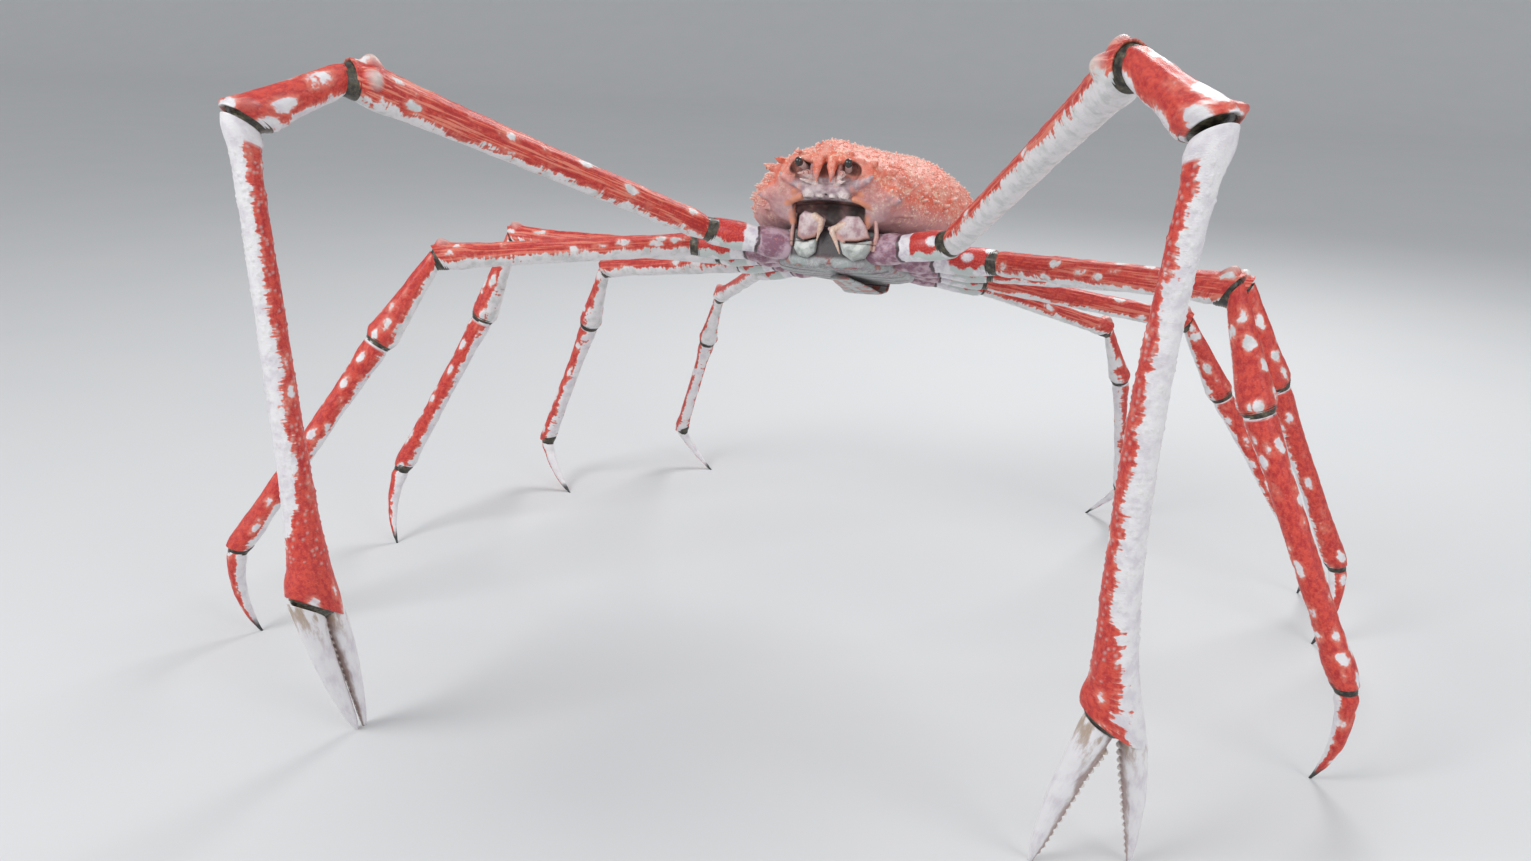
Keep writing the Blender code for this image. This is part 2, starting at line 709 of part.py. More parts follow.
def limb_joints(side, number):
    """The limb's joints from the ischium's end to the tip, which stands on the floor."""
    azimuths, elevations = POSE[side, number]
    merus, carpus, dactylus = LENGTHS[number]
    steps = [direction(side, a, e) for a, e in zip(azimuths, elevations)]
    x, y, z = JOINT_PLACES[number]
    points = [body_point(side_sign(side) * x, y, z)]
    points.append(points[-1] + steps[0] * merus)
    points.append(points[-1] + steps[1] * carpus)
    propodus = (points[-1].z + steps[3].z * dactylus) / -steps[2].z
    points.append(points[-1] + steps[2] * propodus)
    points.append(points[-1] + steps[3] * dactylus)
    return points, steps


def coxa_start(side, number):
    """The middle of the sternum's flat side for this limb, and the way that side faces."""
    sign = side_sign(side)
    first = Vector(STERNUM_CORNERS[number - 1])
    second = Vector(STERNUM_CORNERS[number])
    middle = (first + second) / 2
    along = (second - first).normalized()
    facing = Vector((-along.y, along.x))
    point = body_point(sign * middle.x, middle.y, COXA_LEVEL)
    return point, body_direction(sign * facing.x, facing.y, 0)


def limb_across(points):
    """The level direction across the limb, so that its back faces up, then outwards."""
    out = points[-1] - points[0]
    return Vector((-out.y, out.x, 0)).normalized()


def make_base(side, number, points, steps, parts):
    """Coxa and ischium, from the sternum to the merus."""
    start, facing = coxa_start(side, number)
    axis = (points[0] - start).normalized()
    scale = max(THICKNESS[number], 0.85)
    side_way = Vector((-axis.y, axis.x, 0)).normalized()
    tube = Tube(start, points[0], side_way, BASE_ROWS, scale=scale)
    near = (start + facing * GAP, facing)
    far = joint_plane(points[0], axis, steps[0], -1)
    base = loft("%s_%d_base" % (side, number), tube.rings(LEG_SIDES, near, far), parts)
    return finish(base, "sternum"), axis


def tube_cones(tube, places, tip_share, tools):
    """Cones on a tube: places holds the share of its length, the angle round it, height and radius."""
    cones = []
    for place, angle, height, radius in places:
        turn = math.radians(angle)
        cones.append(
            cone(tube.point(place, turn), tube.outward(place, turn), height, radius, tip_share, tools)
        )
    return cones


def bump_places(count, angles):
    """Rows of blunt bumps along a limb, at these angles round it, each row offset from the last."""
    places = []
    for row, angle in enumerate(angles):
        for i in range(count):
            share = BUMPS_FROM + BUMPS_OVER * (i + 0.5 * (row % 2) + 0.25) / count
            places.append((share, angle, BUMP_HEIGHT, BUMP_RADIUS))
    return places


def make_leg(side, number, parts, cutters):
    points, steps = limb_joints(side, number)
    across = limb_across(points)
    base, axis = make_base(side, number, points, steps, parts)
    made = [base]
    scale = THICKNESS[number]
    ways = [axis] + steps
    names = ("merus", "carpus", "propodus", "dactylus")
    tables = (MERUS_ROWS, CARPUS_ROWS, PROPODUS_ROWS, DACTYLUS_ROWS)
    for i, (name, rows) in enumerate(zip(names, tables)):
        start_plane = joint_plane(points[i], ways[i], ways[i + 1], 1)
        bow = None
        if name == "dactylus":
            end_plane = (Vector((points[4].x, points[4].y, 0)), Vector((0, 0, -1)))
            side_way = (across - steps[3] * across.dot(steps[3])).normalized()
            bow = steps[3].cross(side_way) * (-DACTYLUS_BOW * LENGTHS[number][2])
        else:
            end_plane = joint_plane(points[i + 1], ways[i + 1], ways[i + 2], -1)
        tube = Tube(points[i], points[i + 1], across, rows, bow, scale)
        segment = loft("%s_%d_%s" % (side, number, name), tube.rings(LEG_SIDES, start_plane, end_plane), parts)
        if name == "merus":
            boolean(segment, tube_cones(tube, LEG_MERUS_LOBES, LOBE_TIP_SHARE, cutters), "UNION")
        made.append(finish(segment, "limb"))
    return made


def make_claw_limb(side, parts, cutters):
    points, steps = limb_joints(side, 1)
    across = limb_across(points)
    base, axis = make_base(side, 1, points, steps, parts)
    made = [base]
    ways = [axis] + steps
    for i, (name, rows, lobes) in enumerate(
        (("merus", ARM_ROWS, MERUS_LOBES), ("carpus", WRIST_ROWS, WRIST_LOBES))
    ):
        tube = Tube(points[i], points[i + 1], across, rows)
        near = joint_plane(points[i], ways[i], ways[i + 1], 1)
        far = joint_plane(points[i + 1], ways[i + 1], ways[i + 2], -1)
        segment = loft("%s_1_%s" % (side, name), tube.rings(CLAW_SIDES, near, far), parts)
        bumps = tube_cones(tube, bump_places(BUMPS_IN_ROW[name], BUMP_ANGLES), BUMP_TIP_SHARE, cutters)
        boolean(segment, bumps + tube_cones(tube, lobes, LOBE_TIP_SHARE, cutters), "UNION")
        made.append(finish(segment, "limb"))
    return made + make_claw(side, points, steps, parts, cutters)


def finger_teeth(tube, angle, height, tools):
    """Rounded teeth along a finger's biting edge, largest in its first third."""
    places = []
    for i in range(FINGER_TEETH):
        share = TEETH_FROM + TEETH_OVER * i / (FINGER_TEETH - 1)
        size = 1 - TOOTH_SHRINK * max(0, share - LARGE_TEETH_TO)
        places.append((share, angle, height * size, TOOTH_RADIUS * size))
    return tube_cones(tube, places, TOOTH_TIP_SHARE, tools)


def make_claw(side, points, steps, parts, cutters):
    """The palm with its fixed finger, and the moving finger hinged on the palm's slanted end."""
    hand = steps[2]
    spread = Vector(CLAW_SPREAD[side])
    spread = (spread - hand * spread.dot(hand)).normalized()
    slant = math.radians(HINGE_SLANT)
    hinge_normal = (hand * math.cos(slant) + spread * math.sin(slant)).normalized()
    floor = Vector((0, 0, -1))
    level_spread = Vector((spread.x, spread.y, 0)).normalized() * (CLAW_OPENING[side] / 2)

    palm_tube = Tube(points[2], points[3], spread, PALM_ROWS, spread * PALM_BOW[side])
    wrist = joint_plane(points[2], steps[1], hand, 1)
    palm = loft(side + "_1_propodus", palm_tube.rings(CLAW_SIDES, wrist, (points[3], hinge_normal)), parts)

    tip = points[4] - level_spread
    root = points[3] - spread * THUMB_OFFSET + hand * (THUMB_OFFSET * math.tan(slant) - THUMB_ROOT)
    thumb_tube = Tube(root, tip, spread, THUMB_ROWS, spread * -FINGER_BOW)
    thumb = loft("thumb", thumb_tube.rings(LEG_SIDES, None, (tip, floor)), cutters)
    teeth = finger_teeth(thumb_tube, 0, TOOTH_HEIGHT[side], cutters)
    boolean(palm, [thumb] + teeth, "UNION")

    tip = points[4] + level_spread
    root = points[3] + spread * HINGE_OFFSET - hand * (HINGE_OFFSET * math.tan(slant))
    finger_tube = Tube(root, tip, spread, FINGER_ROWS, spread * FINGER_BOW)
    hinge = (points[3] + hinge_normal * GAP, hinge_normal)
    finger = loft(side + "_1_dactylus", finger_tube.rings(LEG_SIDES, hinge, (tip, floor)), parts)
    boolean(finger, finger_teeth(finger_tube, 180, TOOTH_HEIGHT[side], cutters), "UNION")
    return [finish(palm, "claw"), finish(finger, "claw")]


def stand_on_centre(objects):
    """Moves everything so that the origin is the middle of the outline seen from above."""
    corners = np.array([v.co for obj in objects for v in obj.data.vertices])
    middle = (corners.min(axis=0) + corners.max(axis=0)) / 2
    shift = Matrix.Translation((-middle[0], -middle[1], 0))
    for obj in objects:
        obj.data.transform(shift)


def main():
    clear_scene()
    parts = new_collection("japanese_spider_crab")
    cutters = new_collection("cutters", hidden=True)
    made = [make_carapace(parts, cutters), make_sternum(parts), make_abdomen(parts)]
    for side in ("left", "right"):
        made += make_face_parts(side, parts, cutters)
        made += make_claw_limb(side, parts, cutters)
        for number in range(2, 6):
            made += make_leg(side, number, parts, cutters)
    stand_on_centre(made)
    holder = bpy.data.objects.new("crab", None)
    parts.objects.link(holder)
    for obj in made:
        obj.parent = holder


main()
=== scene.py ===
"""Looks of the Japanese spider crab: its shell, joints, face and colours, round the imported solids.

Sizes in the tables are millimetres and degrees. The crab faces -Y and its left side is +X.
"""

import math

import bpy
import numpy as np
from mathutils import Matrix, Vector


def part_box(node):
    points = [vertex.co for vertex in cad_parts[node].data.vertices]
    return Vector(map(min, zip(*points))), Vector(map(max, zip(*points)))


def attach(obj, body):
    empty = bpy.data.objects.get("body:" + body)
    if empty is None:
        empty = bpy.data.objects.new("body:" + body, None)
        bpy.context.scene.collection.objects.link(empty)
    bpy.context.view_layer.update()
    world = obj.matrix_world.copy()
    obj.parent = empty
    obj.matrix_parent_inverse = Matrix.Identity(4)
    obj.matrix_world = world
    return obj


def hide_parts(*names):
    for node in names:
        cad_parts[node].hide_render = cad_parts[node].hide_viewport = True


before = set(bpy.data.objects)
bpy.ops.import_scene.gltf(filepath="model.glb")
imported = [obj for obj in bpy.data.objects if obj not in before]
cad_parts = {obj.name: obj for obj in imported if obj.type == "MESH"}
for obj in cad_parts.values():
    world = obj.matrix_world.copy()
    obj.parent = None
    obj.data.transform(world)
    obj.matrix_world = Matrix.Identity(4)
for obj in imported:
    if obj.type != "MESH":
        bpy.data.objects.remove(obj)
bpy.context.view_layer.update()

MM = 0.001
BODY_HEIGHT = 531.0
BODY_PITCH = 18.0
BODY_ROLL = 1.0

# Where the camera stands, from under the body's centre, and how it looks
CAMERA_PLACE = (398.3, -1513.5, 743.4)
CAMERA_TURN = 18.78
CAMERA_PITCH = -18.61
CAMERA_ROLL = 1.32
CAMERA_LENS = 28.005
SENSOR_WIDTH = 36.0
SWEEP_RADIUS = 6.0

CARAPACE_FRONT = 161.0
CARAPACE_REAR = -165.0
# Carapace: place along the body, half width, level of the widest line, top, underside, its half width
CARAPACE_ROWS = (
    (-165, 46, 4, 20, -22, 0.80),
    (-160, 80, 2, 32, -36, 0.80),
    (-146, 110, 0, 43, -48, 0.80),
    (-115, 135, -1, 55, -50, 0.82),
    (-70, 148, -2, 66, -50, 0.84),
    (-20, 144, -3, 69.5, -50, 0.84),
    (25, 128, -5, 66, -50, 0.83),
    (65, 109, -7, 57, -50, 0.84),
    (100, 86, -3, 51.5, -50, 0.86),
    (130, 72, 1, 42, -46, 0.88),
    (146, 60, 4, 38, -28, 0.90),
    (155, 51, 6, 34, -16, 0.90),
    (161, 45, 8, 30, -8, 0.90),
)
# Raised regions of the carapace: side, forward, radius, height; the grooves have a negative height
CARAPACE_REGIONS = (
    (0, 88, 44, 4),
    (0, -42, 40, 6),
    (74, -40, 48, 8.5),
    (-74, -40, 48, 8.5),
    (62, 62, 26, 2),
    (-62, 62, 26, 2),
    (0, 24, 26, -6),
    (44, 8, 26, -5),
    (-44, 8, 26, -5),
)

# Sternum: half outline from the front to the rear, with one flat side for each limb
STERNUM_CORNERS = ((44, 112), (72, 76), (84, 32), (86, -13), (76, -57), (54, -96))
STERNUM_REAR = -108.0
STERNUM_RISE = 6.0
# Sternum's pad: level of its face, how far its edge is raised, over what width, its top and its rounding
PAD_FACE = -97.6
PAD_EDGE_RISE = 2.5
PAD_EDGE_WIDTH = 26
PAD_TOP = -50.6
PAD_ROUNDING = 7.0
STERNUM_LEVELS = ((-50.3, 1.0), (-90.0, 1.0), (-96.0, 0.93), (-98.0, 0.75))
COXA_LEVEL = -72.0

# Limbs, counted from the claws: ischium-merus joint from the body's centre (side, forward, up)
JOINT_PLACES = {
    1: (152, 121, -63),
    2: (196, 50, -72),
    3: (180, -9, -75),
    4: (168, -57, -80),
    5: (158, -112, -82),
}
# Lengths of merus, carpus and dactylus; the propodus is as long as it takes to reach the floor
LENGTHS = {
    1: (472, 118, 181),
    2: (330, 126, 122),
    3: (305, 127, 114),
    4: (273, 114, 100),
    5: (229, 97, 88),
}
THICKNESS = {1: 1.0, 2: 1.0, 3: 0.93, 4: 0.85, 5: 0.72}
# Azimuth, forward of straight out to the side, and elevation of merus, carpus, propodus, dactylus
POSE = {
    ("right", 1): ((57, 68, 153, -85), (23, -18, -84, -72)),
    ("left", 1): ((62, 54, -117, -107), (27, -21, -86, -75)),
    ("right", 2): ((37, 45, 42, -113), (-1, -53, -53, -82)),
    ("left", 2): ((37, 5, 16, -140), (5, -72, -65, -81)),
    ("right", 3): ((6, 21, 17, 99), (1, -68, -60, -72)),
    ("left", 3): ((-1, -4, -20, 169), (1, -67, -64, -84)),
    ("right", 4): ((-19, -34, -16, 150), (-9, -62, -64, -48)),
    ("left", 4): ((-17, -14, -10, -74), (-10, -60, -57, -64)),
    ("right", 5): ((-53, -42, -39, 175), (-21, -63, -63, -48)),
    ("left", 5): ((-41, -60, -77, -144), (-19, -60, -68, -45)),
}

# Profiles: share of the length, half width across the limb, half height from back to belly
PROFILES = {
    "base": (
        (0, 19, 18), (0.22, 20, 19), (0.42, 16.5, 16), (0.55, 17.5, 17), (0.85, 18, 17.5), (1, 16, 16),
    ),
    "merus": (
        (0, 13.5, 13.5), (0.03, 14.5, 15), (0.1, 14, 15), (0.3, 14, 15), (0.6, 14, 15), (0.85, 14.5, 15.5),
        (0.95, 16.5, 17), (1, 15, 15.5),
    ),
    "carpus": (
        (0, 10, 10), (0.1, 10.5, 11), (0.3, 12, 13), (0.6, 15, 16), (0.85, 20, 19), (0.95, 21, 20),
        (1, 18.5, 17.5),
    ),
    "propodus": (
        (0, 16, 15), (0.04, 17, 16), (0.14, 14.5, 14.5), (0.5, 13, 13.5), (0.85, 14.5, 14.5),
        (0.95, 16, 15.5), (1, 14, 13.5),
    ),
    "dactylus": (
        (0, 10, 10), (0.06, 11, 12), (0.2, 9.5, 10.5), (0.45, 7.5, 8.5), (0.7, 5, 6), (0.88, 3, 3.5),
        (1, 1.4, 1.4),
    ),
    "arm_merus": (
        (0, 14, 14), (0.03, 15.5, 16), (0.12, 15, 16.5), (0.4, 15.5, 17), (0.7, 16.5, 18), (0.88, 18.5, 20),
        (0.96, 21, 21), (1, 18, 18),
    ),
    "arm_carpus": (
        (0, 13, 13), (0.08, 15, 15.5), (0.25, 16, 16.5), (0.55, 18, 18), (0.85, 21.5, 21), (0.94, 22, 21.5),
        (1, 19, 19),
    ),
    "palm": (
        (0, 16, 15.5), (0.02, 17, 16), (0.06, 14, 14.5), (0.17, 12.7, 13.5), (0.35, 13.5, 14),
        (0.55, 14.6, 15), (0.72, 16, 16.5), (0.84, 18.5, 18.5), (0.91, 22, 20.5), (0.97, 28, 22),
        (1, 28.5, 22),
    ),
    "finger": (
        (0, 16, 15), (0.12, 15, 15), (0.3, 13, 12.5), (0.5, 11.5, 11), (0.7, 9, 9), (0.88, 6, 6.5),
        (1, 2.2, 2.4),
    ),
    "thumb": (
        (0, 10.5, 14), (0.18, 11.5, 13.5), (0.38, 11, 11.5), (0.58, 9.3, 9.5), (0.78, 6.3, 7.5),
        (0.92, 4, 5), (1, 2.2, 2.4),
    ),
}
# Claws: direction from the fixed finger to the moving one, distance between the tips
CLAW_SPREAD = {"right": (-0.25, -0.97, 0.0), "left": (-0.947, -0.322, 0.0)}
CLAW_OPENING = {"right": 10.0, "left": 94.0}
PALM_BOW = {"right": 0.0, "left": 15.0}
FINGER_BOW = 3.0
HINGE_OFFSET = 11.0
THUMB_OFFSET = 17.5
THUMB_ROOT = 16.0
HINGE_SLANT = 34.0
DACTYLUS_BOW = -0.09
# Angle round the moving finger of its biting edge
BITE_ANGLE = {"right": 180, "left": 212}

# Mouth: the hollow under the front of the carapace
MOUTH_HALF_WIDTH = 45.0
MOUTH_TOP = -21.0
MOUTH_BACK = 108.0
# The face slopes back below the eyes: where it starts, forward and up, and how fast it goes back
CHIN_START = (150.0, 4.0)
CHIN_SLOPE = 0.74
# Hollow under the front edge, between the cheeks: half width, forward place, lowest and highest level
FACE_HOLLOW = (37.0, 149.0, -4.0, 19.0)
# Forms of the face, one side of each: path of (side, forward, up, radius), how far it blends, tint
FACE_FORMS = (
    (
        ((8, 145, 27, 7), (8.6, 156, 22, 6.4), (9, 160.5, 13, 5), (9, 161, 5, 3.4), (8.4, 159.5, -5, 1.0)),
        2.5, "horn",
    ),
    (((12, 152, 25, 4.5), (22, 158, 21.5, 3.0), (33, 160, 22, 2.8), (43, 154, 22, 4.5)), 3, ""),
    (((17, 151, 19, 2.6), (16.5, 154, 9, 2.6), (17, 153, -1, 3.2)), 2, "pale"),
    (((13, 150, 1, 3.2), (21, 158, 2.5, 2.5), (29, 166, 3.5, 0.8)), 1.5, "cream"),
    (((13, 149, -4, 3.0), (21, 156, -4, 2.2), (28, 162, -3, 0.8)), 1.5, "cream"),
    (
        (
            (17, 138, -8, 6.5), (30, 143, -6, 6.5), (44, 147.5, -2, 4.6), (52, 150, 2, 3.0),
            (57.5, 152, 6, 1.0),
        ),
        3.5, "pale",
    ),
    (
        (
            (33, 136, -19, 3.5), (44, 131, -22, 4.2), (56, 122, -26, 4.2), (78, 103, -29, 2.6),
            (97, 86, -27, 2),
        ),
        3, "rim",
    ),
    (
        ((40, 137, -12, 4), (46, 130, -16, 5), (49, 122, -24, 5), (48, 114, -38, 4.5), (46, 112, -47, 4)),
        4, "orange",
    ),
    (((26, 148, 29, 3.6), (32, 160, 29, 2.2), (35, 166, 29, 0.8)), 2, ""),
    (((50, 140, 20, 6), (58, 153, 20, 3.2), (63, 160, 21, 0.9)), 4, ""),
    (((64, 120, 14, 6), (76, 129, 16, 3.4), (84, 134, 18, 0.9)), 5, ""),
    (((70, 114, -16, 6), (82, 127, -18, 3.2), (88, 133, -18, 0.9)), 5, "pale"),
)
# Lumps of the face, one side of each: centre, radii, how far it blends, tint
FACE_LUMPS = (
    ((70, 116, -10), (16, 20, 15), 9, "cheek"),
    ((12, 140, -9), (17, 10, 8.5), 4, "lip"),
    ((21.5, 142, -15.5), (7.0, 6.5, 9.5), 1.6, "lobe"),
    ((8.0, 140.5, -19), (4.4, 5.5, 4.4), 1.8, "lobe"),
)

# Eyes: paths of the stalk and of the black ball (side, forward, up, radius)
EYE_STALK = ((26, 148, 13, 4.2), (28, 157, 14.5, 3.8), (29, 161, 15.2, 4.4))
EYE_BALL = (30.2, 167, 16.4)
EYE_RADII = (4.9, 6.0, 5.6)
# Snout between the horns: path of (side, forward, up, radius), how far it blends
SNOUT = (((0, 112, 38, 18), (0, 138, 33, 14), (0, 151, 27, 8)), 9)
# Scooped out of the face: centre, radii, how far it blends
EYE_SOCKET = ((31, 160, 10), (13, 14, 10), 3)
HORN_NOTCH = ((0, 161, 20), (3.2, 7, 6), 2)
LIP_NOTCH = ((0, 150, -18), (3.4, 12, 3.2), 1.5)
# Boxes that the forms lie in: lowest and highest corner, those of pairs on the left side
CARAPACE_BOX = ((-166, -176, -62), (166, 182, 96))
STERNUM_BOX = ((-90, -112, -104), (90, 118, -48))
EYE_BOX = ((20, 142, 4), (40, 176, 26))
ANTENNA_BOX = ((12, 143, -6), (34, 181, 14))
# Boxes of what is cut from the face or laid under it
CHIN_BOX = ((-90, 90, -70), (90, 182, 6))
HOLLOW_BOX = ((-46, 146, -8), (46, 182, 22))
MOUTH_BOX = ((-46, 108, -70), (46, 182, -18))
PAD_BOX = ((-90, -110, -104), (90, 116, -48))
# Antennae: articles along the path (side, forward, up, radius)
ANTENNA_PATH = (
    (19, 149, 7, 3.8), (21, 157, 5.2, 3.6), (22, 160, 4.6, 2.6), (23.2, 165, 3.4, 2.4), (24, 168, 2.9, 1.6),
    (25.6, 172, 1.6, 1.3), (27.4, 177.5, 0.4, 0.6),
)
# Outer mouthparts: plates as (side, up) outlines, forward place, half thickness and tilt
MOUTH_PLATES = {
    "left": (
        (((3, -53), (22, -36), (39, -36), (48, -47), (54, -62), (38, -67), (21, -68)), 119, 4.5, 0.10),
        (((15, -68), (38, -67), (57, -63), (57, -74), (50, -86), (34, -91), (21, -83)), 117, 4.5, 0.05),
        (((52, -32), (60, -36), (64, -60), (61, -78), (54, -78), (56, -56)), 113, 3.5, 0.0),
    ),
    "right": (
        (
            ((-37, -39), (-30, -32), (-15, -36), (-6, -43), (-8, -55), (-13, -64), (-30, -69), (-38, -64)),
            119, 4.5, 0.10,
        ),
        (
            ((-11, -64), (-30, -69), (-40, -64), (-42, -78), (-35, -88), (-22, -90), (-13, -82)),
            114, 4.5, 0.05,
        ),
        (((-40, -32), (-48, -36), (-50, -60), (-48, -76), (-42, -76), (-42, -50)), 112, 3.0, 0.0),
    ),
}
MOUTH_PALPS = {
    "left": (
        (22, 121, -47, 4.6), (8, 124, -54, 3.8), (7.5, 125, -58, 3.2), (13, 123, -69, 2.4),
        (18, 120, -82, 0.8),
    ),
    "right": (
        (-17, 121, -39, 4.6), (-8, 125, -44, 3.8), (-7.5, 125, -49, 3.2), (-9, 123, -57, 2.4),
        (-12, 120, -68, 0.8),
    ),
}
MOUTHPART_BOXES = {"left": ((-4, 102, -98), (68, 136, -22)), "right": ((-56, 102, -98), (6, 136, -22))}
# Abdomen, folded under: middle line (forward, up) and half widths
ABDOMEN_PATH = (
    (44, -101.8), (0, -102.2), (-50, -102.6), (-96, -102.4), (-114, -96), (-121, -78), (-122, -62),
)
ABDOMEN_HALF_WIDTHS = (11, 17, 22, 27, 30, 30, 28)
ABDOMEN_HALF_HEIGHT = 3.4
ABDOMEN_SEGMENTS = 7
ABDOMEN_RINGS = 190
ABDOMEN_SIDES = 64

# Joints of the render: how far a shell stops short of the joint, and how its lip folds inwards
SET_BACK = 2.7
CLAW_SET_BACK = 3.6
# Lobes round the far ends: share of the length, angle, height, radius
LOBES = {
    "merus": ((0.96, 90, 6.5, 10),),
    "arm_merus": ((0.955, 90, 9, 13), (0.965, 15, 8, 12), (0.965, 165, 8, 12)),
    "arm_carpus": ((0.93, 40, 5, 11), (0.93, 140, 5, 11)),
}
# Lip at a shell's end: share of its width, how far out past the end
LIP = ((0.985, 0.7), (0.94, 1.2), (0.87, 0.8), (0.8, -3.0), (0.66, -8.0))
# Folded skin of a joint: rings, how far it reaches into each shell, width, and of its folds
SKIN_RINGS = 17
SKIN_REACH = 9.0
SKIN_WIDTH = 0.9
HINGE_SKIN_WIDTH = 0.86
SKIN_FOLDS = (-0.02, 0.035)

# How fine the shells are: sides round them, and the step from ring to ring
FINENESS = {"base": (56, 1.6), "leg": (52, 1.7), "arm": (84, 1.4), "palm": (96, 1.35), "finger": (72, 1.2)}
LEG_SKIN_SIDES = 44
ARM_SKIN_SIDES = 60
# How fine the blended forms are: the side of a cell
CARAPACE_CELL = 1.35
STERNUM_CELL = 1.4
MOUTH_CELL = 0.7
EYE_CELL = 0.42
ANTENNA_CELL = 0.4

# Relief of the segments: height of the lumps, of the ridges and of the cross wrinkles near the far end
RELIEF = {
    "base": (0.6, 0.0, 0.0),
    "merus": (0.6, 0.35, 0.0),
    "carpus": (0.6, 0.15, 0.45),
    "propodus": (0.6, 0.15, 0.1),
    "dactylus": (0.6, 0.15, 0.0),
    "arm_merus": (0.6, 0.35, 0.2),
    "arm_carpus": (0.6, 0.35, 0.7),
    "palm": (0.5, 0.0, 0.0),
    "finger": (0.35, 0.0, 0.0),
}
# Teeth of a finger: how many, first and last place, height by claw, radius, and how they shrink to the tip
TOOTH_COUNT = 16
TOOTH_SPAN = (0.12, 0.8)
TOOTH_HEIGHT = {"right": 1.6, "left": 4.0}
TOOTH_RADIUS = 4.6
TOOTH_SHRINK = (1.15, 0.75)

# Palm bumps: first and last place, turn from one to the next
PALM_BUMPS_START = 0.05
PALM_BUMPS_END = 0.9
PALM_BUMPS_TURN = 24
# Bases: how far they stand off the sternum, the thinnest they get
BASE_SET_BACK = 0.6
BASE_THINNEST = 0.85
# Way that a tip's flat end faces, and the level of that way under which an end has no lip
FLOOR_WAY = (0.0, 0.0, -1.0)
NO_LIP_WAY = -0.99

# Spines and granules of the back: chance and spacing of the roots, sides, bluntness
SPINE_SPREAD = (0.25, 18.0)
SPINE_SHAPE = (10, 0.1)
GRANULE_SPREAD = (0.5, 5.6)
GRANULE_SHAPE = (6, 0.6)
# A spine's rows: share of the height, width
SPINE_ROWS = ((-0.25, 1.5), (0.0, 1.12), (0.22, 0.74), (0.5, 0.5), (0.78, 0.32), (0.95, 0.16))

# Floor, in metres: half width, near edge, where it starts to curve up, height of its far edge
FLOOR_HALF_WIDTH = 40
FLOOR_NEAR = -30
SWEEP_START = 10
SWEEP_STEPS = 24
FLOOR_TOP = 20.0
# Lamps: place and target in metres, size, power
LAMPS = {
    "key": ((-1.6, -2.4, 2.6), (0, -0.1, 0.4), 1.6, 62),
    "fill": ((2.4, -1.6, 1.5), (0, 0, 0.4), 1.6, 22),
    "rim": ((0.4, 2.2, 2.4), (0, 0, 0.5), 1.4, 45),
}
SKY = (0.80, 0.82, 0.85, 1)
SKY_STRENGTH = 0.75


def body_matrix(centre):
    """From the body's own side, forward and up, in millimetres, to the crab's place, in millimetres."""
    forward = Vector((0, -1, 0))
    left = Vector((1, 0, 0))
    up = Vector((0, 0, 1))
    pitch = math.radians(BODY_PITCH)
    roll = math.radians(BODY_ROLL)
    lifted = forward * math.cos(pitch) + up * math.sin(pitch)
    tilted = up * math.cos(pitch) - forward * math.sin(pitch)
    side = left * math.cos(roll) + tilted * math.sin(roll)
    top = tilted * math.cos(roll) - left * math.sin(roll)
    turn = Matrix((side, lifted, top)).transposed().to_4x4()
    return Matrix.Translation(centre) @ turn


def body_centre():
    """The body's centre, from the box of the sternum's solid and the sternum's own corners."""
    turn = body_matrix((0, 0, 0))
    half = list(STERNUM_CORNERS)
    outline = half + [(0, STERNUM_REAR)] + [(-x, y) for x, y in half]
    points = [turn @ Vector((x * k, y * k, z)) for z, k in STERNUM_LEVELS for x, y in outline]
    low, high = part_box("sternum")
    centre = []
    for axis in (0, 1):
        own = [point[axis] for point in points]
        centre.append((low[axis] + high[axis]) / 2 / MM - (min(own) + max(own)) / 2)
    return (*centre, BODY_HEIGHT)


CENTRE = body_centre()
BODY = body_matrix(CENTRE)


def body_point(side, forward, up):
    return BODY @ Vector((side, forward, up))


def body_direction(side, forward, up):
    return (BODY.to_3x3() @ Vector((side, forward, up))).normalized()


def read_rows(rows, places):
    """The rows' values at these places, on a smooth curve through the rows."""
    rows = np.array(rows, float)
    along, values = rows[:, 0], rows[:, 1:]
    slopes = np.gradient(values, along, axis=0)
    places = np.asarray(places, float)
    k = np.clip(np.searchsorted(along, places, "right") - 1, 0, len(along) - 2)
    step = (along[k + 1] - along[k])[:, None]
    x = (places - along[k])[:, None] / step
    return (
        values[k] * (2 * x**3 - 3 * x**2 + 1)
        + values[k + 1] * (3 * x**2 - 2 * x**3)
        + slopes[k] * step * (x**3 - 2 * x**2 + x)
        + slopes[k + 1] * step * (x**3 - x**2)
    )


def smooth_step(low, high, values):
    x = np.clip((values - low) / (high - low), 0, 1)
    return x * x * (3 - 2 * x)


def noise(points, scale, seed=0):
    """Smooth noise between -1 and 1 at these points, with lumps of about this size."""
    points = np.asarray(points, float) / scale + seed * 17.31
    cell = np.floor(points).astype(np.int64)
    x = points - cell
    x = x * x * x * (x * (x * 6 - 15) + 10)
    total = np.zeros(len(points))
    for corner in np.ndindex(2, 2, 2):
        at = cell + corner
        mixed = (at[:, 0] * 73856093) ^ (at[:, 1] * 19349663) ^ (at[:, 2] * 83492791)
        mixed = (mixed ^ (mixed >> 13)) * 1274126177 & 0xFFFFFFFF
        value = ((mixed ^ (mixed >> 16)) & 0xFFFF) / 32767.5 - 1
        weight = np.prod(np.where(corner, x, 1 - x), axis=1)
        total += value * weight
    return total


def unit(vectors):
    return vectors / np.linalg.norm(vectors, axis=-1, keepdims=True)


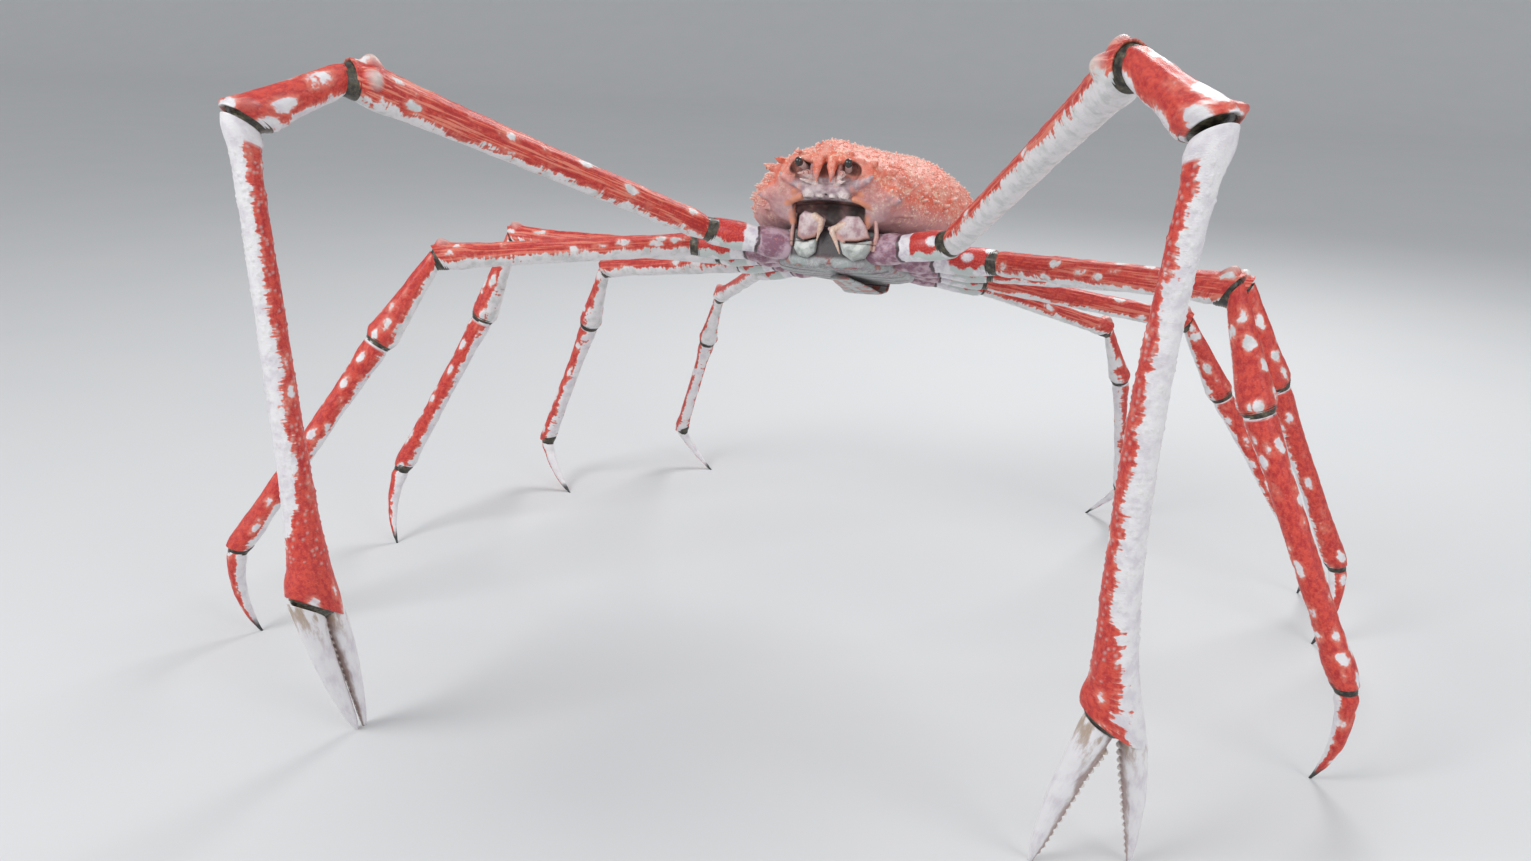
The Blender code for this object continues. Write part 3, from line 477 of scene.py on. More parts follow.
class Tube:
    """An oval tube from start to end, with its profile rows and a bow to one side."""

    def __init__(self, start, end, across, rows, bow=None, scale=1.0):
        self.start = np.array(start)
        self.span = np.array(end) - self.start
        self.length = float(np.linalg.norm(self.span))
        self.across = np.array(across)
        self.rows = rows
        self.bow = np.array(bow) if bow is not None else np.zeros(3)
        self.scale = scale

    def frames(self, places):
        """Middles at these shares of the length, and the directions along, across and to the back."""
        places = np.asarray(places, float)[:, None]
        centre = self.start + self.span * places + self.bow * (4 * places * (1 - places))
        axis = unit(self.span + self.bow * (4 - 8 * places))
        side = unit(self.across - axis * (axis @ self.across)[:, None])
        return centre, axis, side, np.cross(axis, side)

    def grid(self, places, sides, start_plane=None, end_plane=None, relief=None):
        """Rings of points over the tube and their places in its straight frame."""
        half = read_rows(self.rows, places) * self.scale
        centre, axis, side, back = self.frames(places)
        turn = 2 * math.pi * (np.arange(sides) + 0.5) / sides
        cos, sin = np.cos(turn), np.sin(turn)
        way = side[:, None] * cos[None, :, None] + back[:, None] * sin[None, :, None]
        flat = np.stack([half[:, :1] * cos, half[:, 1:] * sin], 2)
        lie = np.stack(np.broadcast_arrays(cos[None], sin[None], np.asarray(places)[:, None]), 2)
        along = np.broadcast_to((np.asarray(places) * self.length)[:, None], flat.shape[:2])
        straight = np.concatenate([flat, along[..., None]], 2)
        points = centre[:, None] + side[:, None] * flat[..., :1] + back[:, None] * flat[..., 1:]
        if relief is not None:
            rise = relief(straight.reshape(-1, 3), lie.reshape(-1, 3)).reshape(flat.shape[:2])
            points = points + way * rise[..., None]
        for plane, share, sign in ((start_plane, places, 1), (end_plane, 1 - np.asarray(places), -1)):
            if plane is None:
                continue
            origin, normal = (np.array(value) for value in plane)
            distance = np.asarray(share) * self.length
            pull = np.clip(1 - distance / (3.0 * half[:, 1]), 0, None)
            slope = axis @ normal
            level = sign * distance * slope
            move = (level[:, None] - (points - origin) @ normal) / slope[:, None] * pull[:, None]
            points = points + axis[:, None] * move[..., None]
        return points, straight, lie


def add_attribute(mesh, name, values):
    values = np.asarray(values, np.float32)
    kind = "FLOAT" if values.ndim == 1 else "FLOAT_VECTOR"
    layer = mesh.attributes.new(name, kind, "POINT")
    layer.data.foreach_set("value" if values.ndim == 1 else "vector", values.ravel())


def grid_faces(rings, sides, first=0, caps=(True, True)):
    """Quads between rings of points, and flat caps on the two ends."""
    i, j = np.meshgrid(np.arange(rings - 1), np.arange(sides), indexing="ij")
    here = first + i * sides + j
    beside = first + i * sides + (j + 1) % sides
    quads = np.stack([here, beside, beside + sides, here + sides], 2).reshape(-1, 4)
    faces = quads.tolist()
    if caps[0]:
        faces.append(list(range(first + sides - 1, first - 1, -1)))
    if caps[1]:
        last = first + (rings - 1) * sides
        faces.append(list(range(last, last + sides)))
    return faces


def build_mesh(name, points, faces, attributes, material, smooth=True):
    """A mesh object in the crab's place from points in millimetres."""
    mesh = bpy.data.meshes.new(name)
    mesh.from_pydata((np.asarray(points) * MM).tolist(), [], faces)
    for key, values in attributes.items():
        add_attribute(mesh, key, values)
    mesh.materials.append(material)
    if smooth:
        mesh.shade_smooth()
    mesh.update()
    obj = bpy.data.objects.new(name, mesh)
    bpy.context.scene.collection.objects.link(obj)
    return obj


def settle(obj, slot, *nodes):
    """Hangs a piece on the root and hides the solids that it stands for; the slot is not used."""
    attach(obj, "root")
    if nodes:
        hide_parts(*nodes)
    return obj


class Nodes:
    """Short calls that build a material's nodes."""

    def __init__(self, name, roughness=0.45, coat=0.0):
        self.material = bpy.data.materials.new(name)
        self.material.use_nodes = True
        self.tree = self.material.node_tree
        self.shader = self.tree.nodes["Principled BSDF"]
        self.shader.inputs["Roughness"].default_value = roughness
        self.shader.inputs["Coat Weight"].default_value = coat
        self.shader.inputs["Coat Roughness"].default_value = 0.25
        self.shader.inputs["Specular IOR Level"].default_value = 0.5

    def put(self, socket, value):
        if isinstance(value, bpy.types.NodeSocket):
            self.tree.links.new(value, socket)
        else:
            socket.default_value = value

    def add(self, kind, inputs=(), **settings):
        node = self.tree.nodes.new(kind)
        for key, value in settings.items():
            setattr(node, key, value)
        for key, value in dict(inputs).items():
            self.put(node.inputs[key], value)
        return node

    def attribute(self, name, output="Vector"):
        return self.add("ShaderNodeAttribute", attribute_name=name).outputs[output]

    def split(self, vector):
        return self.add("ShaderNodeSeparateXYZ", {0: vector}).outputs

    def join(self, x, y, z):
        return self.add("ShaderNodeCombineXYZ", {0: x, 1: y, 2: z}).outputs[0]

    def level(self, name):
        """The value of an attribute that has one number a point."""
        return self.attribute(name, "Fac")

    def math(self, operation, a, b=0.0):
        return self.add("ShaderNodeMath", {0: a, 1: b}, operation=operation).outputs[0]

    def plus(self, a, b):
        return self.math("ADD", a, b)

    def minus(self, a, b):
        return self.math("SUBTRACT", a, b)

    def times(self, a, b):
        return self.math("MULTIPLY", a, b)

    def most(self, a, b):
        return self.math("MAXIMUM", a, b)

    def rest(self, value):
        return self.minus(1.0, value)

    def waver(self, value, share):
        """The noise about its middle, times this share."""
        return self.times(self.minus(value, 0.5), share)

    def scaled(self, vector, *scale):
        return self.add("ShaderNodeVectorMath", {0: vector, 1: scale}, operation="MULTIPLY").outputs[0]

    def shifted(self, vector, shift):
        return self.add("ShaderNodeVectorMath", {0: vector, 1: shift}, operation="ADD").outputs[0]

    def noise(self, vector, scale, detail=3.0, roughness=0.5, distortion=0.0):
        inputs = {"Vector": vector, "Scale": scale, "Detail": detail, "Roughness": roughness}
        inputs["Distortion"] = distortion
        return self.add("ShaderNodeTexNoise", inputs).outputs["Fac"]

    def cells(self, vector, scale, output="Distance", feature="F1"):
        inputs = {"Vector": vector, "Scale": scale, "Randomness": 1.0}
        return self.add("ShaderNodeTexVoronoi", inputs, feature=feature).outputs[output]

    def step(self, value, low, high):
        inputs = {"Value": value, "From Min": low, "From Max": high}
        return self.add("ShaderNodeMapRange", inputs, interpolation_type="SMOOTHSTEP").outputs[0]

    def mix(self, factor, a, b):
        node = self.add("ShaderNodeMix", data_type="RGBA")
        self.put(node.inputs[0], factor)
        for socket, value in ((node.inputs[6], a), (node.inputs[7], b)):
            self.put(socket, (*value, 1.0) if isinstance(value, tuple) and len(value) == 3 else value)
        return node.outputs[2]

    def layers(self, colour, *rows):
        """The colour under layers of others, each row a mask, how much of it shows, and a colour."""
        for mask, share, other in rows:
            colour = self.mix(mask if share == 1 else self.times(mask, share), colour, other)
        return colour

    def bump(self, height, distance, strength=1.0, below=None):
        inputs = {"Height": height, "Distance": distance, "Strength": strength}
        if below is not None:
            inputs["Normal"] = below
        return self.add("ShaderNodeBump", inputs).outputs[0]

    def finish(self, colour, normal=None, roughness=None):
        self.put(self.shader.inputs["Base Color"], colour)
        if normal is not None:
            self.put(self.shader.inputs["Normal"], normal)
        if roughness is not None:
            self.put(self.shader.inputs["Roughness"], roughness)
        return self.material


# Colours of the limbs
RED = (0.44, 0.013, 0.015)
DEEP_RED = (0.40, 0.012, 0.008)
ORANGE = (0.64, 0.06, 0.034)
PALE_RED = (0.80, 0.26, 0.17)
SALMON = (0.80, 0.30, 0.21)
CREAM = (0.82, 0.66, 0.52)
WHITE = (0.76, 0.745, 0.76)
LILAC = (0.55, 0.50, 0.58)
GREEN_GREY = (0.42, 0.47, 0.45)
OLIVE = (0.10, 0.085, 0.05)
PALE_OLIVE = (0.30, 0.30, 0.22)
BLACK = (0.012, 0.010, 0.008)
TIP_GREY = (0.03, 0.035, 0.035)
KNOB = (0.62, 0.62, 0.58)
BITE_BROWN = (0.22, 0.105, 0.075)
STAIN_BROWN = (0.36, 0.24, 0.13)
TOOTH = (0.74, 0.70, 0.66)
# Colours of the back and the face
ROSE = (0.76, 0.27, 0.20)
BRICK = (0.74, 0.14, 0.075)
PEACH = (0.82, 0.40, 0.31)
RUST = (0.62, 0.085, 0.05)
MAROON = (0.32, 0.06, 0.05)
DUSK = (0.52, 0.33, 0.34)
STRAW = (0.86, 0.66, 0.48)
UMBER = (0.25, 0.07, 0.05)
CHEEK_REDS = ((0.66, 0.09, 0.035), (0.80, 0.20, 0.09))
FACE_MAUVES = ((0.34, 0.26, 0.30), (0.60, 0.52, 0.54))
FACE_IVORIES = ((0.70, 0.58, 0.54), (0.84, 0.79, 0.78))
RIM_ORANGE = (0.70, 0.27, 0.14)
# Painted shade: near-black laid in the face's hollow, mouth, lip notch and eye sockets; the antennae's real
# dark joint rings use it too
PAINTED_SHADE_AND_JOINT_BLACK = (0.022, 0.012, 0.011)
SPINE_TIP = (0.85, 0.70, 0.62)
# Colours of the underside, the bases, the mouth and the eyes
# Partly painted shade: the underside's own grey-green and mauve, made darker to stand in for the shade under
# the body
PLATE_GREYS_WITH_PAINTED_SHADE = ((0.17, 0.21, 0.20), (0.16, 0.09, 0.12))
PLATE_CLOUD = (0.36, 0.38, 0.37)
PLATE_VEIN = (0.55, 0.57, 0.55)
PLATE_EDGE = (0.46, 0.50, 0.49)
PLATE_RED = (0.45, 0.10, 0.07)
# Painted shade in the sternum's grooves, at its front under the mouthparts, and in the abdomen's creases
PAINTED_PLATE_SHADE = (0.03, 0.017, 0.02)
COXA_MAUVES = ((0.23, 0.10, 0.15), (0.50, 0.36, 0.42))
COXA_PINK = (0.60, 0.22, 0.18)
ISCHIUM_GREEN = (0.52, 0.57, 0.55)
MOUTH_PINKS = ((0.36, 0.22, 0.24), (0.60, 0.49, 0.49))
MOUTH_STAIN = (0.42, 0.17, 0.14)
MOUTH_GREENS = ((0.28, 0.32, 0.30), (0.50, 0.54, 0.51))
PALP_BONES = ((0.66, 0.42, 0.30), (0.72, 0.60, 0.50))
MOUTH_ORANGE = (0.56, 0.24, 0.17)
# Painted shade at the back of the mouthparts and along the seam between their plates
PAINTED_MOUTH_SHADE = (0.05, 0.028, 0.025)
EYE_BLACKS = ((0.006, 0.006, 0.007), (0.02, 0.016, 0.013))
STALK_PINKS = ((0.42, 0.26, 0.25), (0.72, 0.60, 0.58))
FLOOR_GREYS = ((0.60, 0.61, 0.62), (0.63, 0.63, 0.63))


def shell_material(
    name, pale, streaks, spots, shade=LILAC, *, ends=0.0, tip=False, stripes=0.0, knobs=0.45, cells=0.42,
    red_end=0.0,
):
    """Red shell with a ragged edge to a white side, pale spots and cross streaks.

    pale is the white side's direction across and to the back, and how far round it reaches.
    """
    n = Nodes(name, roughness=0.42, coat=0.15)
    lie = n.split(n.attribute("lie"))
    seed = n.level("seed")
    place = n.shifted(n.attribute("limb"), n.join(seed, n.times(seed, 1.7), n.times(seed, 2.9)))
    rag = n.noise(n.scaled(place, 1.0, 1.0, 0.45), 0.9, 2.5, 0.6)
    comb = n.noise(n.scaled(place, 0.35, 0.35, 2.2), 1.0, 3.0, 0.6)

    toward = n.plus(n.times(lie[0], pale[0]), n.times(lie[1], pale[1]))
    edge = n.plus(n.plus(toward, n.waver(rag, 1.5)), n.waver(comb, streaks))
    edge = n.minus(edge, pale[2])
    if red_end:
        edge = n.minus(edge, n.times(n.step(lie[2], 0.70, 0.92), red_end))
    blush = n.step(edge, -0.30, 0.02)

    bend = n.times(n.noise(place, 0.8, 2.0), 0.9)
    spot = n.cells(n.shifted(n.scaled(place, 1.0, 1.0, 0.55), bend), cells)
    spot = n.plus(spot, n.times(n.noise(place, 2.4, 2.0), 0.25))
    spot_blush = n.rest(n.step(spot, spots, spots + 0.22))

    mottle = n.noise(n.scaled(place, 1.0, 1.0, 0.7), 2.1, 4.0, 0.65)
    fine = n.noise(n.scaled(place, 0.8, 0.8, 1.8), 6.0, 3.0, 0.6)
    red = n.mix(n.step(mottle, 0.35, 0.62), RED, ORANGE)
    red = n.layers(red, (n.step(fine, 0.56, 0.76), 0.40, SALMON))
    if stripes:
        line = n.noise(n.scaled(place, 2.4, 2.4, 0.10), 1.5, 2.0)
        red = n.layers(red, (n.step(line, 0.53, 0.60), stripes, PALE_RED))
        red = n.layers(red, (n.step(line, 0.44, 0.37), stripes, DEEP_RED))
    red = n.layers(red, (n.step(fine, 0.44, 0.26), 0.5, DEEP_RED), (n.most(blush, spot_blush), 0.45, SALMON))
    cloud = n.noise(place, 0.7, 3.0, 0.6)
    white = n.layers(WHITE, (n.step(cloud, 0.42, 0.68), 0.55, shade))
    white = n.layers(white, (n.step(fine, 0.55, 0.72), 0.35, CREAM))
    mask = n.most(n.step(edge, -0.06, 0.07), n.rest(n.step(spot, spots - 0.05, spots + 0.05)))
    if ends:
        mask = n.most(mask, n.step(n.plus(lie[2], n.waver(comb, 0.02)), ends, ends - 0.012))
    colour = n.mix(mask, red, white)
    if tip:
        colour = n.mix(n.step(n.plus(lie[2], n.waver(rag, 0.2)), 0.78, 0.93), colour, TIP_GREY)
    colour = n.layers(colour, (n.level("bump"), knobs, KNOB), (n.level("rim"), 1, OLIVE))
    grain = n.noise(n.scaled(place, 1.0, 1.0, 1.6), 12.0, 3.0, 0.6)
    normal = n.bump(fine, 0.0012, 0.5, n.bump(grain, 0.0006, 0.5))
    return n.finish(colour, normal, n.plus(0.30, n.times(mottle, 0.28)))


def finger_material():
    """Ivory finger with lilac shade, a brown biting edge and stains by the hinge."""
    n = Nodes("finger_shell", roughness=0.38, coat=0.2)
    place = n.attribute("limb")
    along = n.split(n.attribute("lie"))[2]
    cloud = n.noise(n.scaled(place, 1.0, 1.0, 0.3), 1.1, 4.0, 0.6)
    fine = n.noise(place, 6.0, 3.0, 0.6)
    band = n.plus(n.level("bite"), n.waver(cloud, 0.7))
    stain = n.times(n.step(along, 0.35, 0.0), n.step(cloud, 0.48, 0.66))
    colour = n.layers(
        WHITE,
        (n.step(cloud, 0.45, 0.7), 0.6, LILAC),
        (n.step(fine, 0.52, 0.75), 0.3, CREAM),
        (n.step(band, 0.45, 0.75), 0.75, BITE_BROWN),
        (n.step(n.level("bump"), 0.25, 0.6), 0.9, TOOTH),
        (stain, 0.8, STAIN_BROWN),
        (n.level("rim"), 1, OLIVE),
    )
    return n.finish(colour, n.bump(n.noise(place, 9.0, 3.0, 0.6), 0.0006, 0.4))


def membrane_material():
    """Dark olive skin of the joints, wrinkled, with paler folds."""
    n = Nodes("joint_skin", roughness=0.38, coat=0.3)
    place = n.attribute("limb")
    cloud = n.noise(place, 1.6, 4.0, 0.6)
    colour = n.mix(n.step(cloud, 0.38, 0.68), BLACK, OLIVE)
    colour = n.layers(colour, (n.step(cloud, 0.62, 0.76), 0.5, PALE_OLIVE))
    return n.finish(colour, n.bump(n.noise(n.scaled(place, 1.0, 1.0, 4.0), 3.0, 2.0), 0.001, 0.6))


def carapace_material():
    """Salmon shell with red blotches, cream flecks and pale spine tips, and the tints of the face, with
    painted shade in its hollows.
    """
    n = Nodes("carapace_shell", roughness=0.5, coat=0.1)
    place = n.attribute("body")
    mid = n.noise(place, 1.1, 4.0, 0.65)
    fine = n.noise(place, 5.0, 3.0, 0.6)
    low = n.plus(n.split(place)[2], n.waver(mid, 2.2))
    flecks = n.step(n.noise(place, 0.55, 2.0), 0.48, 0.62)
    flecks = n.times(flecks, n.step(n.noise(place, 2.6, 3.0, 0.7), 0.5, 0.6))
    specks = n.rest(n.step(n.cells(place, 2.3), 0.10, 0.2))
    colour = n.layers(
        n.mix(n.step(n.noise(place, 0.32, 3.0, 0.55), 0.40, 0.62), ROSE, BRICK),
        (n.step(mid, 0.5, 0.66), 0.7, PEACH),
        (n.step(mid, 0.42, 0.3), 0.55, RUST),
        (n.step(fine, 0.56, 0.72), 0.6, CREAM),
        (n.step(fine, 0.42, 0.28), 0.45, MAROON),
        (n.step(low, -0.2, -3.6), 0.8, DUSK),
        (flecks, 0.7, STRAW),
        (specks, 0.55, UMBER),
        (n.level("blush"), 0.85, n.mix(n.step(mid, 0.4, 0.6), *CHEEK_REDS)),
        (n.level("pale"), 0.9, n.mix(n.step(mid, 0.36, 0.66), *FACE_MAUVES)),
        (n.level("orange"), 0.75, RIM_ORANGE),
        (n.level("cream"), 0.9, n.mix(n.step(fine, 0.42, 0.62), *FACE_IVORIES)),
        # Painted shade in the face's hollows, and the antennae's dark joint rings
        (n.level("dark"), 0.96, PAINTED_SHADE_AND_JOINT_BLACK),
        (n.level("bump"), 0.85, SPINE_TIP),
    )
    normal = n.bump(n.noise(place, 11.0, 3.0, 0.6), 0.001, 0.6)
    return n.finish(colour, normal, n.plus(0.36, n.times(mid, 0.25)))


def underside_material():
    """Grey-green and mauve plates of the underside, darkened as painted shade, with white wavy edges and
    painted shade in the grooves and creases.
    """
    n = Nodes("underside_shell", roughness=0.42, coat=0.15)
    place = n.attribute("body")
    mid = n.noise(place, 1.6, 4.0, 0.6)
    veins = n.math("ABSOLUTE", n.minus(n.noise(place, 0.9, 3.0, 0.55, 0.6), 0.5))
    colour = n.layers(
        # Own grey-green and mauve, darkened as painted shade
        n.mix(n.step(n.noise(place, 0.40, 3.0, 0.6), 0.40, 0.60), *PLATE_GREYS_WITH_PAINTED_SHADE),
        (n.step(mid, 0.48, 0.66), 0.6, PLATE_CLOUD),
        (n.step(veins, 0.03, 0.0), 0.6, PLATE_VEIN),
        (n.level("pale"), 1, PLATE_EDGE),
        (n.level("orange"), 1, PLATE_RED),
        # Painted shade in the grooves, at the front of the sternum and in the creases
        (n.level("dark"), 1, PAINTED_PLATE_SHADE),
    )
    return n.finish(colour, n.bump(n.noise(place, 6.0, 3.0), 0.001, 0.5))


def base_material():
    """Coxa in mauve, then a white cup, then the red ischium with white marks and a greenish underside."""
    n = Nodes("base_shell", roughness=0.4, coat=0.2)
    place = n.attribute("limb")
    lie = n.split(n.attribute("lie"))
    cloud = n.noise(place, 0.75, 3.0, 0.6)
    fine = n.noise(place, 4.0, 3.0, 0.6)
    spot = n.plus(n.cells(n.scaled(place, 1.0, 1.0, 0.6), 0.42), n.times(fine, 0.2))
    wave = n.plus(lie[2], n.waver(cloud, 0.10))
    below = n.plus(lie[1], n.waver(cloud, 1.6))
    mauve = n.mix(n.step(cloud, 0.40, 0.62), *COXA_MAUVES)
    mauve = n.layers(mauve, (n.step(fine, 0.56, 0.7), 0.6, COXA_PINK))
    white = n.mix(n.step(cloud, 0.45, 0.7), WHITE, LILAC)
    ischium = n.layers(
        n.mix(n.step(fine, 0.4, 0.65), RED, ORANGE),
        (n.step(below, -0.15, -0.35), 1, ISCHIUM_GREEN),
        (n.rest(n.step(spot, 0.34, 0.44)), 1, white),
    )
    colour = n.layers(
        mauve,
        (n.step(wave, 0.38, 0.40), 1, white),
        (n.step(wave, 0.52, 0.55), 1, ischium),
        (n.times(n.step(wave, 0.345, 0.36), n.step(wave, 0.395, 0.38)), 0.85, BLACK),
        (n.level("rim"), 1, OLIVE),
    )
    return n.finish(colour, n.bump(n.noise(place, 8.0, 3.0), 0.001, 0.5))


def mouthpart_material():
    """Mauve-pink plates with pale edges, brown stains and painted shade at the back and along a seam."""
    n = Nodes("mouthpart_shell", roughness=0.38, coat=0.2)
    place = n.attribute("body")
    cloud = n.noise(place, 0.9, 4.0, 0.6)
    fine = n.noise(place, 4.5, 3.0, 0.6)
    colour = n.layers(
        n.mix(n.step(cloud, 0.36, 0.62), *MOUTH_PINKS),
        (n.step(fine, 0.58, 0.72), 0.5, MOUTH_STAIN),
        (n.level("pale"), 0.9, n.mix(n.step(cloud, 0.4, 0.62), *MOUTH_GREENS)),
        (n.level("cream"), 0.9, n.mix(n.step(fine, 0.4, 0.65), *PALP_BONES)),
        (n.level("orange"), 0.8, MOUTH_ORANGE),
        # Painted shade at the back and along the seam
        (n.level("dark"), 0.9, PAINTED_MOUTH_SHADE),
    )
    return n.finish(colour, n.bump(fine, 0.0008, 0.5))


def eye_material():
    """Glossy black ball on a mauve stalk."""
    n = Nodes("eye_black", roughness=0.06, coat=0.6)
    place = n.attribute("body")
    stalk = n.level("pale")
    black = n.mix(n.noise(place, 2.0), *EYE_BLACKS)
    colour = n.mix(stalk, black, n.mix(n.noise(place, 5.0, 3.0), *STALK_PINKS))
    return n.finish(colour, n.bump(n.cells(place, 22.0), 0.00008, 0.3), n.plus(0.06, n.times(stalk, 0.35)))


def lip_rings(ring, outward):
    """The lip at the end of a shell: rings that fold inwards and back into it."""
    middle = ring.mean(axis=0)
    return [middle + (ring - middle) * share + outward * reach for share, reach in LIP]


class Relief:
    """Small forms raised on a limb's surface: soft lumps, ridges along its back, rows of bumps."""

    def __init__(self, seed, kind, bumps=()):
        self.seed = seed
        self.lumps, self.ridges, self.wrinkles = RELIEF[kind]
        self.bumps = np.array(bumps, float).reshape(-1, 5)

    def __call__(self, straight, lie):
        rise = self.lumps * (noise(straight, 16.0, self.seed) + 0.45 * noise(straight, 6.0, self.seed + 1))
        if self.ridges:
            turn = np.arctan2(lie[:, 1], lie[:, 0])
            weave = 0.6 * noise(straight * (1, 1, 0.12), 9.0, self.seed + 2)
            rise += self.ridges * np.clip(lie[:, 1] + 0.3, 0, 1) * np.cos(9 * turn + 2 * weave)
        if self.wrinkles:
            near = smooth_step(0.78, 0.95, lie[:, 2])
            fold = noise(straight * (0.25, 0.25, 1), 2.6, self.seed + 3)
            rise += self.wrinkles * near * fold
        return rise + self.bump_rise(straight)[0]

    def bump_rise(self, straight):
        """How far the bumps lift the surface, and how near the top of one each point is."""
        rise = np.zeros(len(straight))
        near = np.zeros(len(straight))
        for x, y, z, radius, height in self.bumps:
            close = np.flatnonzero(np.abs(straight[:, 2] - z) < radius)
            off = straight[close] - (x, y, z)
            share = np.clip(1 - (off**2).sum(1) / radius**2, 0, 1) ** 1.5
            rise[close] = np.maximum(rise[close], height * share)
            near[close] = np.maximum(near[close], share)
        return rise, near


def bump_list(tube, places):
    """Bumps at (place, angle, height, radius), in the tube's straight frame."""
    found = []
    for place, angle, height, radius in places:
        half = read_rows(tube.rows, [place])[0] * tube.scale
        turn = math.radians(angle)
        flat = (half[0] * math.cos(turn), half[1] * math.sin(turn))
        found.append((*flat, place * tube.length, radius, height))
    return found


def shell(name, tube, fineness, near, far, relief, material, seed):
    """A limb segment's shell, its ends cut to these planes, with folded lips at its joints."""
    sides, step = FINENESS[fineness]
    count = max(12, int(tube.length / step))
    places = np.linspace(0, 1, count)
    places = 0.82 * places + 0.18 * (0.5 - 0.5 * np.cos(math.pi * places))
    points, straight, lie = tube.grid(places, sides, near, far, relief)
    bump = relief.bump_rise(straight.reshape(-1, 3))[1].reshape(lie.shape[:2])
    axis = tube.frames(places[[0, -1]])[1]
    depth = np.minimum(1.0, 1.4 * np.arange(len(LIP)) / len(LIP))
    rings, rims, lips = list(points), [0.0] * count, [0, 0]
    if near is not None:
        rings = lip_rings(points[0], -axis[0])[::-1] + rings
        rims = [*depth[::-1], *rims]
        lips[0] = len(LIP)
    if far[1][2] > NO_LIP_WAY:
        rings += lip_rings(points[-1], axis[1])
        rims = [*rims, *depth]
        lips[1] = len(LIP)
    attributes = {
        "limb": np.pad(straight, (lips, (0, 0), (0, 0)), "edge").reshape(-1, 3) / 10,
        "lie": np.pad(lie, (lips, (0, 0), (0, 0)), "edge").reshape(-1, 3),
        "bump": np.pad(bump, (lips, (0, 0)), "edge").ravel(),
        "rim": np.repeat(rims, sides),
        "seed": np.full(len(rings) * sides, float(seed)),
    }
    return build_mesh(name, np.concatenate(rings), grid_faces(len(rings), sides), attributes, material)


def joint_skin(name, before, after, plane, sides, width=SKIN_WIDTH):
    """The folded skin that bridges a joint, from inside one shell to inside the next."""
    point, normal = (np.array(value) for value in plane)
    ends = []
    for tube, shift in ((before, -SKIN_REACH), (after, SKIN_REACH)):
        place = shift / tube.length % 1
        ring = tube.grid([place], sides)[0][0]
        axis = tube.frames([place])[1][0]
        level = (point + normal * shift - ring) @ normal / (axis @ normal)
        ends.append(ring + axis * level[:, None])
    rings = []
    for k, share in enumerate(np.linspace(0, 1, SKIN_RINGS)):
        x = smooth_step(0.1, 0.9, share)
        ring = ends[0] * (1 - x) + ends[1] * x
        origin = point + normal * ((share - 0.5) * 2 * SKIN_REACH)
        flat = ring - normal * ((ring - origin) @ normal)[:, None]
        middle = flat.mean(axis=0)
        fold = SKIN_FOLDS[k % 2] if 1 < k < SKIN_RINGS - 2 else 0.0
        rings.append(middle + (flat - middle) * (width * (1 + fold)))
    points = np.concatenate(rings)
    faces = grid_faces(SKIN_RINGS, sides)
    obj = build_mesh(name, points, faces, {"limb": (points - point) / 10}, MATERIALS["skin"])
    settle(obj, "limb_shell")


def joint_plane(point, before, after, gap_side, set_back=SET_BACK):
    """The flat face of a joint, half way between the two directions, set back from the joint."""
    normal = (before.normalized() + after.normalized()).normalized()
    return point + normal * (set_back * gap_side), normal


def side_sign(side):
    return 1 if side == "left" else -1


def direction(side, azimuth, elevation):
    turn = math.radians(azimuth)
    lift = math.radians(elevation)
    flat = math.cos(lift)
    return Vector((side_sign(side) * flat * math.cos(turn), -flat * math.sin(turn), math.sin(lift)))


def limb_joints(side, number):
    """The limb's joints from the ischium's end to the tip, which stands on the floor."""
    azimuths, elevations = POSE[side, number]
    merus, carpus, dactylus = LENGTHS[number]
    steps = [direction(side, a, e) for a, e in zip(azimuths, elevations)]
    x, y, z = JOINT_PLACES[number]
    points = [body_point(side_sign(side) * x, y, z)]
    points.append(points[-1] + steps[0] * merus)
    points.append(points[-1] + steps[1] * carpus)
    propodus = (points[-1].z + steps[3].z * dactylus) / -steps[2].z
    points.append(points[-1] + steps[2] * propodus)
    points.append(points[-1] + steps[3] * dactylus)
    return points, steps


def coxa_start(side, number):
    """The middle of the sternum's flat side for this limb, and the way that side faces."""
    sign = side_sign(side)
    first = Vector(STERNUM_CORNERS[number - 1])
    second = Vector(STERNUM_CORNERS[number])
    middle = (first + second) / 2
    along = (second - first).normalized()
    point = body_point(sign * middle.x, middle.y, COXA_LEVEL)
    return point, body_direction(sign * -along.y, along.x, 0)


def limb_across(points):
    """The level direction across the limb, so that its back faces up, then outwards."""
    out = points[-1] - points[0]
    return Vector((-out.y, out.x, 0)).normalized()


def side_look(name, side):
    """The material of this name, or the one for this side where the two sides differ."""
    return MATERIALS.get("%s_%s" % (name, side)) or MATERIALS[name]


def make_segment(side, number, part, slot, tube, fineness, near, far, relief, look, seed):
    """One segment's shell, which stands for the solid of the same name."""
    name = "%s_%d_%s" % (side, number, part)
    obj = shell(name + "_shell", tube, fineness, near, far, relief, side_look(look, side), seed)
    settle(obj, slot, name)


def limb_seed(side, seed, shift):
    """This seed, shifted for the left side so that the two sides differ."""
    return seed + (shift if side == "left" else 0)


def make_base(side, number, points, steps):
    """Coxa and ischium, from the sternum to the merus."""
    start, facing = coxa_start(side, number)
    axis = (points[0] - start).normalized()
    across = Vector((-axis.y, axis.x, 0)).normalized()
    tube = Tube(start, points[0], across, PROFILES["base"], scale=max(THICKNESS[number], BASE_THINNEST))
    near = (start + facing * BASE_SET_BACK, facing)
    far = joint_plane(points[0], axis, steps[0], -1)
    seed = limb_seed(side, number, 5)
    relief = Relief(seed, "base")
    make_segment(side, number, "base", "underside", tube, "base", near, far, relief, "base", seed)
    return tube, axis


